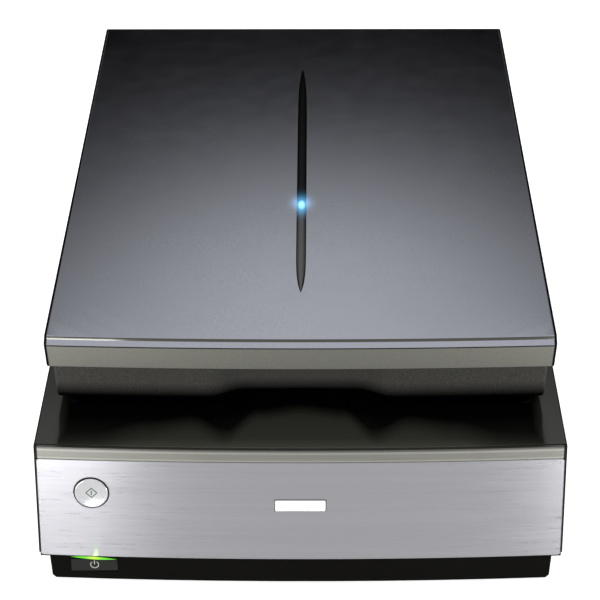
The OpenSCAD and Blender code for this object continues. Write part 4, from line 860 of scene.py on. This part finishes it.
def make_nameplate():
    """Blank plate with a polished rim, in a thin black ring that paints the shade of the gap round it."""
    place = on_panel(0.0, PLATE_Z)

    def outline(half_x, half_y, radius, z):
        points = []
        for cx, cy, start in ((1, 1, 0), (-1, 1, 90), (-1, -1, 180), (1, -1, 270)):
            for a in spread(start, start + 90, 5):
                x = cx * (half_x - radius) + radius * math.cos(math.radians(a))
                y = cy * (half_y - radius) + radius * math.sin(math.radians(a))
                points.append(place @ Vector((x, y, z)))
        return points

    half_x, half_y = PLATE_HALF_X, PLATE_HALF_Z
    shape = Shape()
    steps = [(0.0, 0.8, 0.03), (0.0, 0.8, 0.6), (0.15, 0.7, 0.78), (0.55, 0.5, 0.78), (0.7, 0.4, 0.55)]
    loops = [shape.loop(outline(half_x - i * MM, half_y - i * MM, r * MM, z * MM)) for i, r, z in steps]
    shape.skin(loops)
    shape.cap(loops[0])
    shape.cap(loops[-1])
    shape.finish("nameplate", "base", "bright_metal", ("nameplate_blank",), PLATE)
    # Painted shade: a thin black ring where the gap round the plate lies in shade
    gap_shade = Shape()
    loops = [gap_shade.loop(outline(half_x + g * MM, half_y + g * MM, 0.9 * MM, z * MM))
             for g, z in ((0.45, 0.02), (0.45, 0.06), (0.1, 0.06), (0.1, 0.02))]
    gap_shade.skin(loops + loops[:1])
    gap_shade.finish("nameplate_gap_shade", "base", "black_plastic")


# ---------- Lid ----------

def corner_arc(x, y, radius, start):
    """Quarter turn about a corner's centre, without its first point."""
    turns = [math.radians(a) for a in spread(start, start + 90, 5)[1:]]
    return [(x + radius * math.cos(a), y + radius * math.sin(a)) for a in turns]


def lid_outline(front, side, rear, height):
    """Plan of the lid's cover; height is a function of y that gives z."""
    half = LID_HALF - side
    straight = half - LID_CORNER
    front_y = LID_NOSE_Y + bow(straight, LID_BOW_RADIUS) + front + LID_CORNER
    rear_y = LID_REAR_Y - rear - LID_CORNER
    plan = [(x, LID_NOSE_Y + bow(x, LID_BOW_RADIUS) + front) for x in spread(-straight, straight, 40)]
    plan += corner_arc(straight, front_y, LID_CORNER, -90)
    plan += [(half, y) for y in spread(front_y, rear_y, 24)[1:]]
    plan += corner_arc(straight, rear_y, LID_CORNER, 0)
    plan += [(x, rear_y + LID_CORNER) for x in spread(straight, -straight, 40)[1:]]
    plan += corner_arc(-straight, rear_y, LID_CORNER, 90)
    plan += [(-half, y) for y in spread(rear_y, front_y, 24)[1:]]
    plan += corner_arc(-straight, front_y, LID_CORNER, 180)[:-1]
    points = []
    for x, y in plan:
        z = height(y)
        taper = SIDE_DRAFT * min(1.0, max(0.0, (lid_top(y) - z - DRAFT_START) / DRAFT_HEIGHT))
        points.append((x * (1 - taper / LID_HALF), y, z))
    return points


def slit_outline(grow, drop):
    """Almond outline of the slit, drop below the lid's top."""
    steps = 40
    points = []
    for side in (1, -1):
        for i in range(-steps, steps):
            t = math.sin(math.pi / 2 * i / steps) * side
            width = max(SLIT_HALF_WIDTH * (1 - abs(t) ** (7 if t > 0 else 13)) + grow, 0.0)
            y = SLIT_MIDDLE_Y + t * (SLIT_HALF_LENGTH + grow)
            points.append((side * max(width, 0.05 * MM), y, lid_top(y) - drop))
    return points


def make_lid_cover():
    """Upper shell: a bright ledge behind a fine groove along the front, a step, and the sloping top."""
    def below(drop):
        return lambda y: lid_top(y) - drop * MM

    def above(rise):
        return lambda y: LID_EDGE_Z + rise * MM

    # Set-back of the front, of the sides and the height, from the foot to the top
    steps = [
        (0.5, 0.5, above(0.0)), (0.15, 0.15, above(0.15)), (0.0, 0.0, above(0.5)), (0.0, 0.0, below(4.3)),
        (0.12, 0.0, below(4.1)), (0.75, 0.0, below(4.0)), (0.75, 0.0, below(3.55)), (0.12, 0.0, below(3.5)),
        (0.05, 0.0, below(3.35)), (0.3, 0.0, below(3.15)), (3.9, 0.0, below(1.95)), (4.1, 0.0, below(1.85)),
        (4.45, 0.12, below(0.3)), (4.6, 0.35, below(0.08)), (4.85, 0.75, below(0.0)),
    ]
    shape = Shape()
    outer = [shape.loop(lid_outline(f * MM, s * MM, s * MM, h)) for f, s, h in steps]
    shape.skin(outer)
    wall = LID_WALL / MM
    inner = [shape.loop(lid_outline(f * MM, wall * MM, wall * MM, h)) for f, h in (
        (wall, above(0.0)), (wall, below(6.0)), (4.85 + wall, below(wall)))]
    shape.skin(inner)
    shape.skin([outer[0], inner[0]])
    rims = ((0.1, 0.0), (-0.1, 0.12), (-0.2, 0.35), (-0.2, wall))
    slit = [shape.loop(slit_outline(grow * MM, drop * MM)) for grow, drop in rims]
    shape.skin(slit)
    shape.fill(outer[-1], slit[0])
    shape.fill(inner[-1], slit[-1])
    shape.finish("lid_cover", "lid", "lid_paint", ("lid_top_cover",), sharp_angle=30)


def make_slit_insert():
    """Smoked insert, slightly hollow across, with the light's lens in it."""
    shape = Shape()
    snug = -0.2 * MM
    rings = [(snug, SLIT_DROP + 2 * MM, 1.0), (snug, SLIT_DROP, 1.0), (snug, SLIT_DROP + 0.12 * MM, 0.7)]
    rings.append((snug, SLIT_DROP + 0.2 * MM, 0.3))
    loops = []
    for grow, drop, share in rings:
        points = slit_outline(grow, drop)
        loops.append(shape.loop([(x * share + (0.05 * MM if x >= 0 else -0.05 * MM) * (1 - share), y, z)
                                 for x, y, z in points]))
    shape.skin(loops)
    shape.fill(loops[0])
    shape.fill(loops[-1])
    shape.finish("slit_insert", "lid", "smoked_window", ("lid_window",), sharp_angle=50)

    lens = Shape()
    loops = []
    count = 40
    for share, lift in ((1.0, -0.6), (1.0, 0.0), (0.9, 0.22), (0.65, 0.4), (0.3, 0.5)):
        ring = []
        for i in range(count):
            a = 2 * math.pi * i / count
            x, y = LENS_HALF_X * share * math.cos(a), LIGHT_Y + LENS_HALF_Y * share * math.sin(a)
            ring.append((x, y, lid_top(y) - SLIT_DROP + (lift - 0.1) * MM))
        loops.append(lens.loop(ring))
    lens.skin(loops)
    lens.cap(loops[0])
    lens.cap(loops[-1])
    lens.finish("light_lens", "lid", "blue_light", ("lid_light",))


def skirt_front(x):
    """Front of the lid's lower case at x, with the finger scoop."""
    scoop = SCOOP_DEPTH * (1 - smooth((abs(x) - 0.62 * SCOOP_HALF) / (0.38 * SCOOP_HALF)))
    return SKIRT_CORNER_Y - LID_BOW * (1 - (x / SKIRT_HALF) ** 2) + scoop


def skirt_path():
    """Plan of the lower case's wall from the left hinge notch round the front to the right one."""
    flank = SKIRT_HALF - SKIRT_CORNER
    front_y, rear_y = skirt_front(flank) + SKIRT_CORNER, SKIRT_REAR_Y - SKIRT_CORNER
    right = [(x, skirt_front(x)) for x in spread(0.0, flank, 44)]
    right += corner_arc(flank, front_y, SKIRT_CORNER, -90)
    right += [(SKIRT_HALF, y) for y in spread(front_y, rear_y, 24)[1:]]
    right += corner_arc(flank, rear_y, SKIRT_CORNER, 0)
    right.append((HINGE_X + NOTCH_HALF, SKIRT_REAR_Y))
    return [(-x, y) for x, y in reversed(right[1:])] + right


def wall_along(shape, path):
    """Wall of the lower case along a plan; its foot curls inwards and its sides flare out at the top."""
    # Set-in from the outside and height above the foot, in millimetres
    outside = [(0.0, SKIRT_HEIGHT), (0.0, 18.0), (0.05, 8.0), (0.2, 2.5), (0.5, 1.0), (1.0, 0.25)]
    outside += [(1.7, 0.02), (3.0, 0.0)]
    inside = [(3.8, 0.3), (3.8, 2.0), (2.6, 3.6), (2.6, SKIRT_HEIGHT)]
    rows = []
    for i, (x, y) in enumerate(path):
        ax, ay = path[max(i - 1, 0)]
        bx, by = path[min(i + 1, len(path) - 1)]
        length = math.hypot(bx - ax, by - ay)
        inward = (-(by - ay) / length, (bx - ax) / length)
        rise = SCOOP_RISE * max(0.0, 1 - (x / SCOOP_HALF) ** 2) if y < 0 else 0.0
        ring = []
        for set_in, up in outside + inside:
            flare = SKIRT_FLARE * abs(inward[0]) * up / SKIRT_HEIGHT
            step = set_in * MM - flare
            z = SKIRT_FOOT_Z + up * MM + rise * max(0.0, 1 - up / 8.0)
            ring.append((x + inward[0] * step, y + inward[1] * step, z))
        rows.append(shape.loop(ring))
    shape.skin(rows)
    shape.cap(rows[0])
    shape.cap(rows[-1])


def make_lid_skirt():
    """Lower case of the lid: its wall with the finger scoop, and the floor around the film window."""
    shape = Shape()
    wall_along(shape, skirt_path())
    inner = HINGE_X - NOTCH_HALF
    wall_along(shape, [(x, SKIRT_REAR_Y) for x in spread(inner, -inner, 6)])
    covered = ("lid_lower_case", "finger_grip")
    shape.finish("lid_skirt", "lid", "black_plastic", covered, SKIRT, sharp_angle=35)

    inset = SKIRT_INSET
    outline = []
    for x in spread(-(SKIRT_HALF - inset), SKIRT_HALF - inset, 56):
        outline.append((x, skirt_front(x) + inset))
    outer_x, back_y = SKIRT_HALF - inset, SKIRT_REAR_Y - inset
    notch = [(HINGE_X + NOTCH_HALF, back_y), (HINGE_X + NOTCH_HALF, NOTCH_Y), (HINGE_X - NOTCH_HALF, NOTCH_Y),
             (HINGE_X - NOTCH_HALF, back_y)]
    outline += [(outer_x, back_y)] + notch + [(-x, y) for x, y in reversed(notch)] + [(-outer_x, back_y)]
    hole_x, hole_y, hole_middle = FILM_HOLE
    hole = [(hole_x, hole_middle - hole_y), (hole_x, hole_middle + hole_y), (-hole_x, hole_middle + hole_y),
            (-hole_x, hole_middle - hole_y)]
    floor = Shape()
    levels = []
    for z in (FLOOR_Z, FLOOR_Z + LID_WALL):
        levels.append([floor.loop([(x, y, z) for x, y in points]) for points in (outline, hole)])
        floor.fill(*levels[-1])
    for lower, upper in zip(*levels):
        floor.skin([lower, upper])
    floor.finish("lid_floor", "lid", "black_plastic", bevel=0.3 * MM)


dress_cad_nodes()
front_sheet("panel_sheet", "brushed_panel", MATERIALS["brushed_panel"], "front_panel",
            PANEL_FOOT_Z - PANEL_LIP, PANEL_TOP_Z, corner=1.5 * MM, bevel=0.3 * MM,
            hole=(START_X, START_Z, START_HOLE))
front_sheet("trim_strip", "trim_plastic", TRIM, "front_trim", TRIM_FOOT_Z, TRIM_TOP_Z,
            corner=0.6 * MM, bevel=0.5 * MM)
make_start_button()
make_power_sign()
make_light_strip()
make_nameplate()
make_lid_cover()
make_slit_insert()
make_lid_skirt()


# ---------- Camera, light and floor ----------

CAMERA_PLACE = Vector((7.56, -1240.25, 773.02)) * MM
CAMERA_PITCH = math.radians(30.205)
CAMERA_YAW = math.radians(-0.4206)
CAMERA_ROLL = math.radians(-0.219)
LENS_MM = 125.89


def make_camera():
    """The photograph's viewpoint."""
    ahead = Vector((
        math.sin(CAMERA_YAW) * math.cos(CAMERA_PITCH),
        math.cos(CAMERA_YAW) * math.cos(CAMERA_PITCH),
        -math.sin(CAMERA_PITCH),
    ))
    side = Vector((math.cos(CAMERA_YAW), -math.sin(CAMERA_YAW), 0.0))
    up = side.cross(ahead)
    right = side * math.cos(CAMERA_ROLL) + up * math.sin(CAMERA_ROLL)
    top = up * math.cos(CAMERA_ROLL) - side * math.sin(CAMERA_ROLL)
    data = bpy.data.cameras.new("camera")
    data.lens = LENS_MM
    data.sensor_width = 36.0
    data.clip_end = 20.0
    camera = bpy.data.objects.new("camera", data)
    turn = Matrix((right, top, -ahead)).transposed().to_4x4()
    camera.matrix_world = Matrix.Translation(CAMERA_PLACE) @ turn
    bpy.context.scene.collection.objects.link(camera)
    bpy.context.scene.camera = camera


def area_lamp(name, place, target, size, energy):
    """Rectangular soft lamp that faces its target."""
    data = bpy.data.lights.new(name, "AREA")
    data.shape = "RECTANGLE"
    data.size, data.size_y = size
    data.energy = energy
    lamp = bpy.data.objects.new(name, data)
    lamp.location = place
    lamp.rotation_euler = (Vector(target) - Vector(place)).to_track_quat("-Z", "Y").to_euler()
    lamp.visible_camera = False
    bpy.context.scene.collection.objects.link(lamp)


# Brightness of the studio by the sine of the elevation: behind the object, and in front of it
REAR_STOPS = (
    (0.0, 0.01), (0.43, 0.01), (0.445, 0.03), (0.461, 0.10), (0.477, 0.30),
    (0.494, 0.62), (0.51, 0.92), (0.527, 1.12), (0.551, 1.2), (0.6, 1.25),
)
FRONT_STOPS = ((0.0, 0.30), (0.3, 0.35), (0.6, 0.8), (0.8, 1.2))
# Width of the bright field behind the object by the same sine
WIDTH_STOPS = ((0.0, 0.150), (0.44, 0.150), (0.488, 0.108), (0.537, 0.145), (0.8, 1.0))


def make_world():
    """White behind the object; for its light and reflections a studio whose rear wall brightens upwards."""
    world = bpy.data.worlds.new("studio")
    world.use_nodes = True
    tree = world.node_tree
    tree.nodes.clear()
    link = tree.links.new

    place = tree.nodes.new("ShaderNodeTexCoord")
    split = tree.nodes.new("ShaderNodeSeparateXYZ")
    link(place.outputs["Generated"], split.inputs[0])
    x, y, z = (split.outputs[name] for name in "XYZ")
    rear = ramp(tree, z, REAR_STOPS)
    front = ramp(tree, z, FRONT_STOPS)
    aside = calc(tree, "DIVIDE", x, ramp(tree, z, WIDTH_STOPS))
    sides = calc(tree, "POWER", 0.37, calc(tree, "MULTIPLY", aside, aside))
    behind = tree.nodes.new("ShaderNodeMapRange")
    link(y, behind.inputs["Value"])
    behind.inputs["From Min"].default_value = -0.06
    behind.inputs["From Max"].default_value = 0.06
    share = behind.outputs["Result"]
    studio = calc(tree, "ADD", calc(tree, "MULTIPLY", calc(tree, "MULTIPLY", rear, sides), share),
                  calc(tree, "MULTIPLY", front, calc(tree, "SUBTRACT", 1.0, share)))

    path = tree.nodes.new("ShaderNodeLightPath")
    mirrored = calc(tree, "MAXIMUM", path.outputs["Is Glossy Ray"], path.outputs["Is Transmission Ray"])
    horizon = calc(tree, "LESS_THAN", z, 0.02)
    white = calc(tree, "MAXIMUM", path.outputs["Is Camera Ray"], calc(tree, "MULTIPLY", mirrored, horizon))
    light = tree.nodes.new("ShaderNodeBackground")
    link(studio, light.inputs["Strength"])
    seen = tree.nodes.new("ShaderNodeBackground")
    seen.inputs["Color"].default_value = (1.0, 1.0, 1.0, 1.0)
    light.inputs["Color"].default_value = (1.0, 1.0, 1.0, 1.0)
    mix = tree.nodes.new("ShaderNodeMixShader")
    link(white, mix.inputs["Fac"])
    link(light.outputs[0], mix.inputs[1])
    link(seen.outputs[0], mix.inputs[2])
    out = tree.nodes.new("ShaderNodeOutputWorld")
    link(mix.outputs[0], out.inputs["Surface"])
    bpy.context.scene.world = world


def make_floor():
    """White floor that keeps the object's shadow; metal and glass mirror it as plain white."""
    mesh = bpy.data.meshes.new("floor")
    half = 4.0
    corners = [(-half, -half, 0), (half, -half, 0), (half, half, 0), (-half, half, 0)]
    mesh.from_pydata(corners, [], [(0, 1, 2, 3)])
    floor = new_object("floor", mesh)
    m = Nodes("floor")
    grain = m.noise(40.0)
    m.feed("Base Color", m.blend(grain, (0.80, 0.80, 0.80), (0.82, 0.82, 0.82)))
    m.fixed(Roughness=0.9, Specular_IOR_Level=0.0)
    path = m.add("ShaderNodeLightPath")
    seen = m.add("ShaderNodeEmission")
    m.link(m.times(path.outputs["Is Camera Ray"], 0.8), seen.inputs["Strength"])
    both = m.add("ShaderNodeAddShader")
    m.link(m.shader.outputs[0], both.inputs[0])
    m.link(seen.outputs[0], both.inputs[1])
    mirror = m.add("ShaderNodeEmission")
    mirrored = m.math("MAXIMUM", path.outputs["Is Glossy Ray"], path.outputs["Is Transmission Ray"])
    mix = m.add("ShaderNodeMixShader")
    m.link(mirrored, mix.inputs["Fac"])
    m.link(both.outputs[0], mix.inputs[1])
    m.link(mirror.outputs[0], mix.inputs[2])
    m.link(mix.outputs[0], m.tree.nodes["Material Output"].inputs["Surface"])
    floor.data.materials.append(m.material)


PANEL_LEFT, PANEL_RIGHT = (-0.15, -0.25, 0.06), (0.15, -0.25, 0.06)
# Name, place, target, size and watts; the low ones brighten both ends of the brushed panel
LAMPS = (
    ("left_strip", (-0.66, -1.35, 0.38), PANEL_LEFT, (0.5, 0.9), 1.0),
    ("right_strip", (0.68, -1.32, 0.38), PANEL_RIGHT, (0.5, 0.9), 0.7),
    ("left_low", (-0.3325, -0.62, 0.06), PANEL_LEFT, (0.335, 0.11), 1.06),
    ("right_low", (0.385, -0.62, 0.06), PANEL_RIGHT, (0.30, 0.11), 1.05),
)


def make_green_glow():
    """Green light that the bar over the power button throws on the panel."""
    data = bpy.data.lights.new("green_glow", "POINT")
    data.energy = 0.0006
    data.color = (0.35, 1.0, 0.1)
    data.shadow_soft_size = 1 * MM
    glow = new_object("green_glow", data)
    glow.location = (BAR_X, PLINTH_FRONT_Y - 4.5 * MM, BAR_Z - 0.5 * MM)


make_camera()
make_world()
make_floor()
for lamp in LAMPS:
    area_lamp(*lamp)
make_green_glow()

bpy.context.scene.view_settings.view_transform = "Standard"
